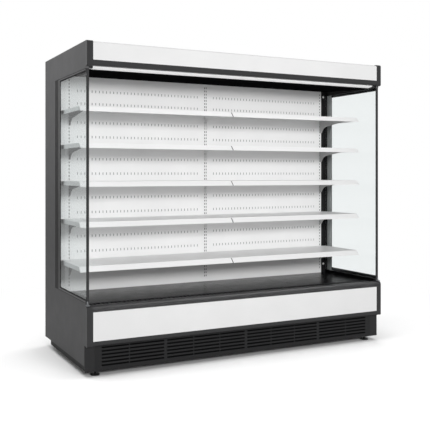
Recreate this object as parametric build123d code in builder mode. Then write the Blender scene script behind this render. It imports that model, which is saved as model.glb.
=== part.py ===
from build123d import *
import os

# Open multideck display fridge, in millimetres.
# x runs along the front, y from the front to the back, z up.
# The origin is on the floor, in the middle of the footprint.

# ---- overall size ----
cabinet_width = 2400.0
cabinet_depth = 1055.0
cabinet_height = 2180.0

# ---- clearances and sheets ----
slip_gap = 0.3  # between a piece that lifts or pulls out and its neighbour
running_gap = 0.05  # radial, between a shaft or pin and its bore
skin = 1.0  # steel skin of the foamed panels
sheet = 1.5  # folded steel of shelves, decks, ducts and covers

# ---- base frame and feet ----
foot_height = 40.0
foot_pad_radius = 30.0
foot_pad_thickness = 9.0
foot_pad_chamfer = 3.0
foot_stem_radius = 6.0
foot_nut_width = 19.0
foot_nut_height = 10.0
foot_inset = 86.0  # from the end of the cabinet to the foot's screw
rail_height = 33.0
rail_width = 40.0
rail_wall = 2.5
rail_end_inset = 4.0
frame_rear = 905.0  # places with no other note are measured back from the front face
front_rail_place = 80.0
rear_rail_place = 840.0
post_inset = 64.0
machine_space = 136.0  # height between the base rails and the tub
machine_plate_start = 250.0  # from the middle of the cabinet
machine_plate_end = 1080.0

# ---- end panels, glass and their trim ----
end_thickness = 24.0
end_band_height = 179.0  # solid band over the end glass
end_column_depth = 289.0
side_rise = 25.0  # from the deck to the top of the lower side
plinth_step = 8.0  # the lower side panel stands this far behind the kick plate's face
cap_depth = 30.0
cap_width = 42.0
upper_cap_height = 165.0
lower_cap_drop = 4.0
pane_thickness = 4.0
glass_air_gap = 10.0
glass_tongue = 8.0  # the edge profile's tongue between the two panes
glass_inset = 5.0
trim_recess = 1.5  # the trim's face stands this far inside the end panel's face
glass_front = 33.0
sill_height = 20.0
head_height = 16.0
glass_trim_front = 642.0
groove_width = 5.0
groove_depth = 2.0
trim_groove_place = 679.0
edge_profile_depth = 6.0
edge_profile_round = 2.0

# ---- foamed tub, back and roof ----
tub_floor_thickness = 52.0
tub_front_place = 12.0
back_thickness = 68.0
back_inset = 2.0
roof_thickness = 68.0
roof_front = 62.0
return_duct_place = 52.0

# ---- lower front ----
lip_height = 31.0
lip_radius = 10.0
profile_wall = 2.5
bumper_height = 39.0
bumper_depth = 60.0
bumper_radius = 22.0
bumper_drop = 17.0
front_wall_top_gap = 13.0  # from the bumper's top down to the top of the foamed front wall

# ---- kick plate ----
kick_setback = 50.0
corner_post_width = 68.0
corner_post_sheet = 3.0
kick_bottom = 34.0
kick_flange = 12.0
kick_gap = 2.0
slot_rows = 6
slot_row_pitch = 23.5
slot_height = 11.0
first_slot_row = 68.0
slot_end_margin = 115.0
wide_bar = 22.0
thin_bar = 7.0
outer_bar_place = 630.0
outer_tie_place = 892.0

# ---- deck and return air ----
deck_rise = 199.0  # from the tub's floor to the deck's top
deck_front = 165.0
deck_flange = 22.0
beam_drop = 60.0
beam_flange = 20.0
return_grille_thickness = 8.0
return_slot_pitch = 30.0
return_slot_width = 20.0
return_grille_rim = 12.0

# ---- back of the display space ----
back_plane = 704.0
end_post_inset = 86.0
end_post_width = 30.0
middle_post_width = 50.0
middle_slot_spacing = 14.0
post_depth = 30.0
post_sheet = 2.0
slot_pitch = 25.0
post_slot_height = 14.0
post_slot_width = 6.0
first_post_slot = 505.0
last_post_slot = 2005.0
duct_top = 2040.0
duct_return = 15.0
slit_width = 5.0
slit_height = 18.0
slit_pitch = 28.0
slit_margin = 40.0
slit_rows = (750.0, 861.0, 1037.0, 1145.0, 1322.0, 1429.0, 1593.0, 1698.0, 1838.0, 1930.0)
filler_sheet = 2.0

# ---- shelves ----
lowest_shelf_steps = 15  # half slot pitches above the first slot
shelf_rises = (24, 22, 21, 20)  # half slot pitches from each shelf to the next one up
shelf_end_gap = 4.0
bay_gap = 2.0
tray_front = 268.0
tray_rear_gap = 4.0
tray_flange = 30.0
tray_edge_round = 0.9
ticket_rail_height = 35.0
ticket_rail_reach = 33.0
ticket_rail_wall = 2.5
bracket_thickness = 2.5
bracket_root_height = 105.0
bracket_root_length = 28.0
bracket_knee_height = 55.0
bracket_knee_place = 90.0
bracket_tip_height = 14.0
bracket_tip_gap = 12.0
bracket_knee_slope = 0.28
bracket_root_slope = 1.8
middle_arm_height = 30.0
middle_tab_length = 8.0
hook_height = 12.0
hook_reach = 8.0
hook_drop = 12.0
hook_slots_apart = 2

# ---- canopy ----
fascia_drop = 5.0
fascia_height = 120.0
fascia_flange = 100.0
fascia_radius = 15.0
canopy_trim_height = 37.0
canopy_trim_depth = 40.0
canopy_trim_radius = 12.0
lamp_depth = 48.0
lamp_height = 26.0
lamp_break = 24.0
lamp_front_drop = 16.0
lamp_break_drop = 22.0
lamp_wall = 2.0
lamp_recess = 1.0  # from the canopy's underside up to the diffuser's lowest edge
lamp_end_gap = 28.0
honeycomb_depth = 80.0
honeycomb_thickness = 20.0
honeycomb_rim = 6.0
honeycomb_pitch = 32.0
honeycomb_wall = 4.0
canopy_underside = 2003.0
liner_rise = 32.0

# ---- cooling and electrics ----
coil_half_width = 1000.0
coil_front = 745.0
coil_depth = 180.0
coil_height = 176.0
coil_lift = 14.0
coil_fin_pitch = 25.0
coil_fin = 3.0
coil_rows = 3
coil_end_sheet = 4.0
fan_plate_place = 560.0
evaporator_fan_place = 560.0  # to each side of the middle
fan_plate_hole_radius = 83.0
fan_lift = 90.0  # from the tub's floor to the fan's axis
fan_tip_radius = 77.0
fan_hub_radius = 24.0
fan_hub_length = 26.0
fan_blade = 2.5
fan_blade_chord = 34.0
fan_blade_pitch = 34.0
fan_blades = 5
fan_shaft_radius = 4.0
motor_radius = 38.0
motor_length = 52.0
motor_bar_height = 16.0
motor_bar_thickness = 4.0
motor_bar_overlap = 12.0
fan_stand_off = 10.0
condenser_start = 300.0
condenser_end = 1020.0
condenser_place = 150.0
condenser_depth = 40.0
condenser_height = 116.0
condenser_fin_pitch = 18.0
condenser_rows = 3
shroud_depth = 40.0
condenser_fan_tip = 46.0
condenser_fan_hub = 15.0
condenser_fan_length = 13.0
condenser_motor_radius = 30.0
condenser_motor_length = 26.0
condenser_hole_radius = 52.0
compressor_radius = 54.0
compressor_length = 300.0
compressor_start = 560.0
compressor_place = 480.0
compressor_lift = 8.0
compressor_round = 24.0
compressor_foot_width = 40.0
compressor_foot_place = 75.0  # from each end of the shell to the foot's middle
compressor_foot_height = 35.0
suction_pipe_radius = 8.0
liquid_pipe_radius = 5.0
pipe_bend = 24.0
suction_drop_place = 1050.0
liquid_drop_place = 1110.0
drain_tray_start = -640.0
drain_tray_end = -160.0
drain_tray_front = 160.0
drain_tray_rear = 820.0
drain_tray_height = 45.0  # over the base rails
drain_tray_sink = 16.5  # below the base rails' top
drain_pipe_radius = 12.0
drain_pipe_place = 300.0
drain_pipe_end_gap = 20.0
control_start = -1020.0
control_end = -780.0
control_place = 150.0
control_depth = 80.0
control_height = 110.0
switch_width = 24.0
switch_height = 13.0
switch_depth = 12.0
switch_wall = 3.0
switch_pin_radius = 1.5
switch_clearance = 1.2  # over and under the rocker, for its swing
rocker_depth = 9.0
switch_throw = 8.0  # degrees to each side of level
switch_from_end = 40.0
key_radius = 5.0
key_proud = 2.0
key_collar = 4.5
key_collar_length = 3.0
key_from_end = 80.0
gland_radius = 9.0
gland_length = 16.0
screw_head_radius = 5.0
screw_head_height = 2.0
screw_shank_radius = 2.4
screws_up_back = 6
screws_along_roof = 4
screw_edge = 40.0

# ---- places that follow from the sizes above ----
half_width = cabinet_width / 2
inner_half = half_width - end_thickness
front = -cabinet_depth / 2
base_bottom = foot_height
base_top = base_bottom + rail_height
tub_bottom = base_top + machine_space
tub_floor_top = tub_bottom + tub_floor_thickness
deck_top = tub_floor_top + deck_rise
side_top = deck_top + side_rise
bumper_top = side_top - bumper_drop
bumper_bottom = bumper_top - bumper_height
lip_top = tub_bottom + lip_height
front_wall_top = bumper_top - front_wall_top_gap
band_bottom = cabinet_height - end_band_height
sill_top = side_top + sill_height
head_bottom = band_bottom - head_height
column_front = cabinet_depth - end_column_depth
back_rear = cabinet_depth - back_inset
back_front = back_rear - back_thickness
fascia_top = cabinet_height - fascia_drop
fascia_bottom = fascia_top - fascia_height
roof_top = fascia_top - sheet
roof_bottom = roof_top - roof_thickness
canopy_trim_bottom = fascia_bottom - canopy_trim_height
cap_inner = half_width - cap_width
kick_half = half_width - corner_post_width
lamp_rear = canopy_trim_depth + lamp_depth
lamp_top = canopy_underside + lamp_recess + lamp_height
honeycomb_rear = lamp_rear + honeycomb_depth
end_post_place = half_width - end_post_inset
lowest_shelf_top = first_post_slot + lowest_shelf_steps * slot_pitch / 2
deck_under = deck_top - sheet
motor_height = tub_floor_top + fan_lift
machine_floor = base_top + rail_wall

shelf_tops = [lowest_shelf_top]
for rise in shelf_rises:
    shelf_tops.append(shelf_tops[-1] + rise * slot_pitch / 2)


def slab(xs, ys, zs, mode=Mode.ADD):
    """A box between two x, two depths behind the front face and two heights."""
    middle = (sum(xs) / 2, front + sum(ys) / 2, sum(zs) / 2)
    with Locations(middle):
        Box(xs[1] - xs[0], ys[1] - ys[0], zs[1] - zs[0], mode=mode)


def hollow(xs, ys, zs, wall, along):
    """A box tube with a wall, open along one of the letters x, y and z."""
    slab(xs, ys, zs)
    shrink = {letter: (0.0 if letter == along else wall) for letter in "xyz"}
    inner = [
        (low + shrink[letter], high - shrink[letter])
        for letter, (low, high) in zip("xyz", (xs, ys, zs))
    ]
    slab(*inner, mode=Mode.SUBTRACT)


def side_view(points):
    """A closed outline in the side view, from depths behind the front face and heights."""
    Polygon(*[(front + depth, height) for depth, height in points], align=None)


def side_rectangle(ys, zs, mode=Mode.ADD):
    """A rectangle in the side view, from two depths behind the front face and two heights."""
    with Locations((front + sum(ys) / 2, sum(zs) / 2)):
        Rectangle(ys[1] - ys[0], zs[1] - zs[0], mode=mode)


def clear_of_caps():
    """Cut away the corners of a front piece where the end caps stand."""
    for side in (-1, 1):
        across = sorted((side * cap_inner, side * half_width))
        slab(across, (0.0, cap_depth), (0.0, cabinet_height), mode=Mode.SUBTRACT)


def side_plane(x):
    """The side view's plane at x, which extrudes towards +x."""
    return Plane.YZ.offset(x)


def front_plane(depth):
    """The front view's plane at a depth behind the front face, which extrudes towards +y."""
    return Plane(origin=(0, front + depth, 0), x_dir=(-1, 0, 0), z_dir=(0, 1, 0))


def spread(low, high, count):
    """Evenly spaced values from low to high."""
    return [low + (high - low) * step / (count - 1) for step in range(count)]


def save(shape, name):
    """Label a finished piece and write it out."""
    shape.label = name
    export_step(shape, f"parts/{name}.step")


os.makedirs("parts", exist_ok=True)

# ---- base frame: box tube rails, posts under the tub and the machine plate ----
frame_half = half_width - rail_end_inset
rail_span = frame_half - rail_width
frame_front = kick_setback + corner_post_sheet
front_rail = (front_rail_place, front_rail_place + rail_width)
rear_rail = (rear_rail_place, rear_rail_place + rail_width)
foot_places = [
    (side * (half_width - foot_inset), depth + rail_width / 2)
    for depth in (front_rail_place, rear_rail_place)
    for side in (-1, 1)
]
with BuildPart() as base_frame:
    for side in (-1, 1):
        ends = sorted((side * frame_half, side * rail_span))
        hollow(ends, (frame_front, frame_rear), (base_bottom, base_top), rail_wall, "y")
    for rail in (front_rail, rear_rail):
        hollow((-rail_span, rail_span), rail, (base_bottom, base_top), rail_wall, "x")
    middle_rail = (-rail_width / 2, rail_width / 2)
    between = (front_rail[1], rear_rail[0])
    hollow(middle_rail, between, (base_bottom, base_top), rail_wall, "y")
    post_half = half_width - post_inset
    for rail in (front_rail, rear_rail):
        for place in (-post_half, 0.0, post_half):
            across = (place - rail_width / 2, place + rail_width / 2)
            hollow(across, rail, (base_top, tub_bottom), rail_wall, "z")
    plate = (machine_plate_start, machine_plate_end)
    slab(plate, (front_rail[0], rear_rail[1]), (base_top, machine_floor))
    with Locations([(x, front + depth, base_bottom + rail_wall / 2) for x, depth in foot_places]):
        Cylinder(foot_stem_radius + running_gap, rail_wall, mode=Mode.SUBTRACT)
save(base_frame.part, "base_frame")


# ---- levelling feet: pad, hexagon nut and screw in one turning piece ----
def levelling_foot(x, depth):
    """A foot whose screw turns in the base rail's lower wall."""
    nut_top = base_bottom - slip_gap
    with BuildPart(Plane.XY.move(Location((x, front + depth, 0)))) as foot:
        Cylinder(
            foot_pad_radius,
            foot_pad_thickness,
            align=(Align.CENTER, Align.CENTER, Align.MIN),
        )
        chamfer(foot.edges().group_by(Axis.Z)[-1], foot_pad_chamfer)
        with BuildSketch(Plane.XY.offset(nut_top - foot_nut_height)):
            with Locations((x, front + depth)):
                RegularPolygon(foot_nut_width / 2, 6, major_radius=False)
        extrude(amount=foot_nut_height)
        Cylinder(
            foot_stem_radius,
            base_top - 2 * rail_wall,
            align=(Align.CENTER, Align.CENTER, Align.MIN),
        )
    return foot


foot_names = ("foot_front_left", "foot_front_right", "foot_rear_left", "foot_rear_right")
for foot_name, (foot_x, foot_depth) in zip(foot_names, foot_places):
    save(levelling_foot(foot_x, foot_depth).part, foot_name)

# ---- end panels: a painted skin, filled with foam, round the end glass ----
end_outline = [
    (kick_setback + plinth_step, base_top),
    (kick_setback + plinth_step, tub_bottom),
    (cap_depth, tub_bottom),
    (cap_depth, side_top),
    (column_front, side_top),
    (column_front, band_bottom),
    (cap_depth, band_bottom),
    (cap_depth, cabinet_height),
    (cabinet_depth, cabinet_height),
    (cabinet_depth, base_top),
]
with BuildPart() as end_core:
    with BuildSketch(side_plane(-half_width + skin)):
        side_view(end_outline)
        offset(amount=-skin, kind=Kind.INTERSECTION)
    extrude(amount=end_thickness - 2 * skin)
with BuildPart() as end_panel_left:
    with BuildSketch(side_plane(-half_width)):
        side_view(end_outline)
    extrude(amount=end_thickness)
    add(end_core.part, mode=Mode.SUBTRACT)
with BuildPart() as end_panel_right:
    mirror(end_panel_left.part, about=Plane.YZ)
save(end_panel_left.part, "end_panel_left")
save(end_panel_right.part, "end_panel_right")

# ---- end glass: two panes with an air gap fill the opening at each end ----
glass_rear = back_plane
pane_outer = half_width - glass_inset
pane_inner = pane_outer - 2 * pane_thickness - glass_air_gap
with BuildPart() as end_glass_left:
    for low, high in (
        (-pane_outer, -pane_outer + pane_thickness),
        (-pane_inner - pane_thickness, -pane_inner),
    ):
        slab((low, high), (glass_front, glass_rear), (side_top, band_bottom))
with BuildPart() as end_glass_right:
    mirror(end_glass_left.part, about=Plane.YZ)
save(end_glass_left.part, "end_glass_left")
save(end_glass_right.part, "end_glass_right")

# ---- glass surrounds: a flat outer trim over the glass edges, with a thick rear stile ----
trim_face = half_width - trim_recess
surround_outline = [
    (glass_front, side_top),
    (column_front, side_top),
    (column_front, band_bottom),
    (glass_front, band_bottom),
    (glass_front, head_bottom),
    (glass_trim_front, head_bottom),
    (glass_trim_front, sill_top),
    (glass_front, sill_top),
]
with BuildPart() as glass_surrounds:
    with BuildSketch(side_plane(-trim_face)):
        side_view(surround_outline)
    extrude(amount=trim_face - pane_outer)
    slab((-pane_outer, -inner_half), (glass_rear, column_front), (side_top, band_bottom))
    slab(
        (-trim_face, -trim_face + groove_depth),
        (trim_groove_place, trim_groove_place + groove_width),
        (sill_top, head_bottom),
        mode=Mode.SUBTRACT,
    )
    mirror(about=Plane.YZ)
save(glass_surrounds.part, "glass_surrounds")

# ---- glass edge profiles: the upright strip on each pane's front edge ----
with BuildPart() as glass_edge_profiles:
    slab(
        (-pane_outer, -pane_inner),
        (glass_front - edge_profile_depth, glass_front),
        (side_top, band_bottom),
    )
    front_edges = glass_edge_profiles.edges().filter_by(Axis.Z).group_by(Axis.Y)[0]
    fillet(front_edges, edge_profile_round)
    slab(
        (-pane_outer + pane_thickness, -pane_inner - pane_thickness),
        (glass_front, glass_front + glass_tongue),
        (side_top, band_bottom),
    )
    mirror(about=Plane.YZ)
save(glass_edge_profiles.part, "glass_edge_profiles")

# ---- corner caps: moulded ends of the canopy and of the lower front ----
upper_cap_bottom = cabinet_height - upper_cap_height
lower_cap_bottom = tub_bottom - lower_cap_drop
cap_spans = (
    (lower_cap_bottom, bumper_top, lip_radius, bumper_radius),
    (upper_cap_bottom, cabinet_height, canopy_trim_radius, fascia_radius),
)
with BuildPart() as corner_caps:
    for low, high, low_radius, high_radius in cap_spans:
        with BuildSketch(side_plane(-half_width)) as cap_side:
            side_rectangle((0.0, cap_depth), (low, high))
            fillet(cap_side.vertices().group_by(Axis.X)[0].sort_by(Axis.Y)[0], low_radius)
            fillet(cap_side.vertices().group_by(Axis.X)[0].sort_by(Axis.Y)[-1], high_radius)
        extrude(amount=cap_width)
    mirror(about=Plane.YZ)
save(corner_caps.part, "corner_caps")


# ---- foamed panels: a steel skin closed round a foam core ----
screw_x = inner_half - screw_edge
back_screws = [
    (side * screw_x, front + back_rear, height)
    for side in (-1, 1)
    for height in spread(tub_bottom + screw_edge, roof_bottom - screw_edge, screws_up_back)
]
roof_screw_depths = spread(fascia_flange + screw_edge, back_rear - screw_edge, screws_along_roof)
roof_screws = [
    (side * screw_x, front + depth, roof_top) for side in (-1, 1) for depth in roof_screw_depths
]
coil_middle = coil_front + coil_depth / 2
coil_bottom = tub_floor_top + coil_lift
suction_hole = (suction_drop_place, coil_middle, suction_pipe_radius)
liquid_hole = (liquid_drop_place, coil_middle, liquid_pipe_radius)
drain_x = (drain_tray_start + drain_tray_end) / 2
drain_hole = (drain_x, drain_pipe_place, drain_pipe_radius)
floor_holes = (suction_hole, liquid_hole, drain_hole)

tub_floor_box = (
    (-inner_half, inner_half),
    (return_duct_place, back_front),
    (tub_bottom, tub_floor_top),
)
tub_front_box = (
    (-cap_inner, cap_inner),
    (tub_front_place, return_duct_place),
    (lip_top, front_wall_top),
)
back_box = ((-inner_half, inner_half), (back_front, back_rear), (tub_bottom, roof_bottom))
roof_box = ((-inner_half, inner_half), (roof_front, back_rear), (roof_bottom, roof_top))


def core_box(box):
    """The space inside a foamed panel's skin."""
    return [(low + skin, high - skin) for low, high in box]


def pipe_holes(box):
    """Holes for the pipes that go down through the tub's floor."""
    low, high = box[2]
    for x, depth, radius in floor_holes:
        with Locations((x, front + depth, (low + high) / 2)):
            Cylinder(radius + slip_gap, high - low, mode=Mode.SUBTRACT)


with BuildPart() as tub_skins:
    for box in (tub_floor_box, tub_front_box):
        slab(*box)
        slab(*core_box(box), mode=Mode.SUBTRACT)
    pipe_holes(tub_floor_box)
save(tub_skins.part, "tub_skins")

with BuildPart() as rear_wall_skin:
    slab(*back_box)
    slab(*core_box(back_box), mode=Mode.SUBTRACT)
    for x, y, z in back_screws:
        with Locations(Location((x, y - skin / 2, z), (90, 0, 0))):
            Cylinder(screw_shank_radius + running_gap, skin, mode=Mode.SUBTRACT)
save(rear_wall_skin.part, "rear_wall_skin")

with BuildPart() as roof_skin:
    slab(*roof_box)
    slab(*core_box(roof_box), mode=Mode.SUBTRACT)
    for x, y, z in roof_screws:
        with Locations((x, y, z - skin / 2)):
            Cylinder(screw_shank_radius + running_gap, skin, mode=Mode.SUBTRACT)
save(roof_skin.part, "roof_skin")

with BuildPart() as insulation_cores:
    slab(*core_box(tub_floor_box))
    pipe_holes(core_box(tub_floor_box))
    for box in (tub_front_box, back_box, roof_box):
        slab(*core_box(box))
    add(end_core.part)
    mirror(end_core.part, about=Plane.YZ)
save(insulation_cores.part, "insulation_cores")

# ---- screws that hold the back and the roof ----
with BuildPart() as fasteners:
    for x, y, z in back_screws:
        with Locations(Location((x, y + screw_head_height / 2, z), (90, 0, 0))):
            Cylinder(screw_head_radius, screw_head_height)
        with Locations(Location((x, y - skin / 2, z), (90, 0, 0))):
            Cylinder(screw_shank_radius, skin)
    for x, y, z in roof_screws:
        with Locations((x, y, z + screw_head_height / 2)):
            Cylinder(screw_head_radius, screw_head_height)
        with Locations((x, y, z - skin / 2)):
            Cylinder(screw_shank_radius, skin)
save(fasteners.part, "fasteners")

# ---- lower front: lip, white panel and bumper ----
with BuildPart() as lower_front_frame:
    with BuildSketch(side_plane(-inner_half)) as lip_side:
        side_rectangle((0.0, return_duct_place), (tub_bottom, lip_top))
        fillet(lip_side.vertices().group_by(Axis.X)[0].sort_by(Axis.Y)[0], lip_radius)
        offset(amount=-profile_wall, mode=Mode.SUBTRACT)
    extrude(amount=2 * inner_half)
    clear_of_caps()
save(lower_front_frame.part, "lower_front_frame")

with BuildPart() as lower_front_panel:
    slab((-cap_inner, cap_inner), (0.0, sheet), (lip_top, bumper_bottom))
    slab((-cap_inner, cap_inner), (sheet, tub_front_place), (lip_top, lip_top + sheet))
save(lower_front_panel.part, "lower_front_panel")

with BuildPart() as bumper_rail:
    with BuildSketch(side_plane(-inner_half)) as bumper_side:
        side_rectangle((0.0, bumper_depth), (bumper_bottom, bumper_top))
        top_front = bumper_side.vertices().group_by(Axis.X)[0].sort_by(Axis.Y)[-1]
        fillet(top_front, bumper_radius)
        with BuildSketch(mode=Mode.SUBTRACT) as bumper_inside:
            side_rectangle(
                (profile_wall, bumper_depth - profile_wall),
                (bumper_bottom, bumper_top - profile_wall),
            )
            inside_corner = bumper_inside.vertices().group_by(Axis.X)[0].sort_by(Axis.Y)[-1]
            fillet(inside_corner, bumper_radius - profile_wall)
        side_rectangle((tub_front_place, bumper_depth), (bumper_bottom, deck_top), Mode.SUBTRACT)
    extrude(amount=2 * inner_half)
    clear_of_caps()
save(bumper_rail.part, "bumper_rail")

# ---- return air grille between the front wall and the deck ----
grille_top = deck_top
grille_front = return_duct_place
grille_rear = deck_front - post_sheet
slot_length = grille_rear - bumper_depth - 2 * return_grille_rim
slot_middle = (bumper_depth + grille_rear) / 2
grille_slots = int((2 * inner_half - 2 * return_grille_rim) / return_slot_pitch)
with BuildPart() as return_air_grille:
    with BuildSketch(Plane.XY.offset(grille_top - return_grille_thickness)):
        with Locations((0, front + (grille_front + grille_rear) / 2)):
            Rectangle(2 * inner_half, grille_rear - grille_front)
        with Locations((0, front + slot_middle)):
            with GridLocations(return_slot_pitch, 1, grille_slots, 1):
                Rectangle(return_slot_width, slot_length, mode=Mode.SUBTRACT)
    extrude(amount=return_grille_thickness)
save(return_air_grille.part, "return_air_grille")

# ---- plinth corner posts at the two ends of the kick plate ----
with BuildPart() as plinth_corner_posts:
    slab(
        (-half_width, -kick_half),
        (kick_setback, kick_setback + corner_post_sheet),
        (kick_bottom, tub_bottom),
    )
    slab(
        (-half_width, -half_width + corner_post_sheet),
        (kick_setback, kick_setback + plinth_step),
        (base_top, tub_bottom),
    )
    slab(
        (-kick_half - corner_post_sheet, -kick_half),
        (kick_setback, front_rail[0]),
        (base_top, tub_bottom),
    )
    mirror(about=Plane.YZ)
save(plinth_corner_posts.part, "plinth_corner_posts")

# ---- kick plate: a flanged sheet with rows of slots ----
kick_top = tub_bottom - kick_gap
slot_field = half_width - slot_end_margin
inner_field = (wide_bar / 2, outer_bar_place - wide_bar / 2)
inner_third = (inner_field[1] - inner_field[0] - 2 * thin_bar) / 3
inner_columns = [
    (inner_field[0] + column * (inner_third + thin_bar), inner_third) for column in range(3)
]
outer_start = outer_bar_place + wide_bar / 2
outer_columns = [
    (outer_start, outer_tie_place - thin_bar / 2 - outer_start),
    (outer_tie_place + thin_bar / 2, slot_field - outer_tie_place - thin_bar / 2),
]
kick_plate_half = kick_half - slip_gap
with BuildPart() as kick_plate:
    with BuildSketch(front_plane(kick_setback)):
        with Locations((0, (kick_bottom + kick_top) / 2)):
            Rectangle(2 * kick_plate_half, kick_top - kick_bottom)
        for row in range(slot_rows):
            row_height = first_slot_row + row * slot_row_pitch
            for start, length in inner_columns + outer_columns:
                for side in (-1, 1):
                    with Locations((side * (start + length / 2), row_height)):
                        Rectangle(length, slot_height, mode=Mode.SUBTRACT)
    extrude(amount=sheet)
    for low, high in ((kick_bottom, kick_bottom + sheet), (kick_top - sheet, kick_top)):
        flange_depths = (kick_setback + sheet, kick_setback + kick_flange)
        slab((-kick_plate_half, kick_plate_half), flange_depths, (low, high))
save(kick_plate.part, "kick_plate")

# ---- deck beams, and the two lift-out deck pans on them ----
rear_beam_face = back_plane - slip_gap
with BuildPart() as deck_beams:
    front_web = (deck_front - post_sheet, deck_front)
    rear_web = (rear_beam_face - post_sheet, rear_beam_face)
    for web in (front_web, rear_web):
        slab((-inner_half, inner_half), web, (deck_under - beam_drop, deck_under))
    front_flange = (deck_front, deck_front + beam_flange)
    rear_flange = (rear_beam_face - beam_flange, rear_beam_face - post_sheet)
    for flange in (front_flange, rear_flange):
        slab((-inner_half, inner_half), flange, (deck_under - post_sheet, deck_under))
save(deck_beams.part, "deck_beams")

deck_outer = inner_half - filler_sheet - slip_gap
deck_inner = bay_gap / 2
deck_depths = (deck_front, back_plane - slip_gap)
lip_depths = (deck_front + beam_flange + slip_gap, back_plane - beam_flange - 2 * slip_gap)
deck_lip_low = deck_under - deck_flange


def deck_pan(xs):
    """A deck sheet with a turned-down lip at each end, clear of the beams and the fan plate."""
    with BuildPart() as pan:
        slab(xs, deck_depths, (deck_under, deck_top))
        for low in (xs[0], xs[1] - sheet):
            before = (lip_depths[0], fan_plate_place - beam_flange - slip_gap)
            after = (fan_plate_place + sheet + slip_gap, lip_depths[1])
            for depths in (before, after):
                slab((low, low + sheet), depths, (deck_lip_low, deck_under))
    return pan


save(deck_pan((-deck_outer, -deck_inner)).part, "deck_pan_left")
save(deck_pan((deck_inner, deck_outer)).part, "deck_pan_right")

# ---- slotted uprights that the shelf brackets hook into ----
slot_count = int((last_post_slot - first_post_slot) / slot_pitch) + 1
slot_heights = [first_post_slot + slot_pitch * step for step in range(slot_count)]
post_rows = (
    (-end_post_place, end_post_width, (0.0,)),
    (0.0, middle_post_width, (-middle_slot_spacing / 2, middle_slot_spacing / 2)),
    (end_post_place, end_post_width, (0.0,)),
)
with BuildPart() as shelf_uprights:
    for post_x, width, columns in post_rows:
        low, high = post_x - width / 2, post_x + width / 2
        hollow(
            (low, high),
            (back_plane, back_plane + post_depth),
            (tub_floor_top, roof_bottom),
            post_sheet,
            "z",
        )
    with BuildSketch(front_plane(back_plane)):
        for post_x, width, columns in post_rows:
            with Locations([(-post_x - column, z) for column in columns for z in slot_heights]):
                Rectangle(post_slot_width, post_slot_height)
    extrude(amount=post_sheet, mode=Mode.SUBTRACT)
save(shelf_uprights.part, "shelf_uprights")

# ---- perforated duct panels between the uprights ----
panel_low = middle_post_width / 2
panel_high = end_post_place - end_post_width / 2
panel_middle = (panel_low + panel_high) / 2
slit_count = int((panel_high - panel_low - 2 * slit_margin) / slit_pitch) + 1
with BuildPart() as duct_panel_left:
    with BuildSketch(front_plane(back_plane)):
        with Locations((panel_middle, (deck_top + duct_top) / 2)):
            Rectangle(panel_high - panel_low, duct_top - deck_top)
        for height in slit_rows:
            with Locations((panel_middle, height)):
                with GridLocations(slit_pitch, 1, slit_count, 1):
                    Rectangle(slit_width, slit_height, mode=Mode.SUBTRACT)
    extrude(amount=sheet)
    for edge in (-panel_high, -panel_low - sheet):
        slab(
            (edge, edge + sheet),
            (back_plane + sheet, back_plane + duct_return),
            (deck_top, duct_top),
        )
with BuildPart() as duct_panel_right:
    mirror(duct_panel_left.part, about=Plane.YZ)
save(duct_panel_left.part, "duct_panel_left")
save(duct_panel_right.part, "duct_panel_right")

# ---- corner fillers between the end uprights and the end glass ----
filler_edge = end_post_place + end_post_width / 2
filler_top = canopy_underside + liner_rise
with BuildPart() as corner_fillers:
    slab(
        (-inner_half, -filler_edge),
        (back_plane, back_plane + filler_sheet),
        (deck_top, filler_top),
    )
    mirror(about=Plane.YZ)
save(corner_fillers.part, "corner_fillers")

# ---- shelf brackets: a hooked plate under each end of each shelf ----
end_bracket_places = (-end_post_place, end_post_place)
middle_bracket_places = (-middle_slot_spacing / 2, middle_slot_spacing / 2)


def hook_height_for(top):
    """The middle of the highest slot that a bracket under this shelf top can hook into."""
    steps = int((top - hook_drop - hook_height / 2 - first_post_slot) / slot_pitch)
    return first_post_slot + steps * slot_pitch


def end_bracket_outline(top):
    """Side view of an end bracket: deep root, hollow curve, long taper to the shelf's front."""
    seat = top - sheet
    tip = tray_front + bracket_tip_gap
    root = back_plane - bracket_root_length
    knee = back_plane - bracket_knee_place
    with BuildLine(Plane.XY) as edge_line:
        Line((front + back_plane, seat), (front + tip, seat))
        Line((front + tip, seat), (front + tip, seat - bracket_tip_height))
        Line((front + tip, seat - bracket_tip_height), (front + knee, seat - bracket_knee_height))
        Spline(
            (front + knee, seat - bracket_knee_height),
            (front + root, seat - bracket_root_height),
            tangents=((1, -bracket_knee_slope), (1, -bracket_root_slope)),
        )
        root_corner = (front + back_plane, seat - bracket_root_height)
        Line((front + root, seat - bracket_root_height), root_corner)
        Line(root_corner, (front + back_plane, seat))
    make_face(edge_line.edges())


def middle_bracket_outline(top):
    """Side view of a middle bracket: a slim arm inside the tray and a narrow tab at the upright."""
    seat = top - sheet
    tip = front + tray_front + bracket_tip_gap
    tab = front + back_plane - middle_tab_length
    arm_root = (tab, seat - middle_arm_height)
    tab_foot = seat - bracket_root_height
    with BuildLine(Plane.XY) as edge_line:
        Polyline(
            (front + back_plane, seat),
            (tip, seat),
            (tip, seat - bracket_tip_height),
            arm_root,
            (tab, tab_foot),
            (front + back_plane, tab_foot),
            close=True,
        )
    make_face(edge_line.edges())


def bracket_hooks(top):
    """The two hooks of a bracket that reach through the upright's slots."""
    upper_hook = hook_height_for(top)
    for hook in (upper_hook, upper_hook - hook_slots_apart * slot_pitch):
        side_rectangle(
            (back_plane, back_plane + hook_reach),
            (hook - hook_height / 2, hook + hook_height / 2),
        )


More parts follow.
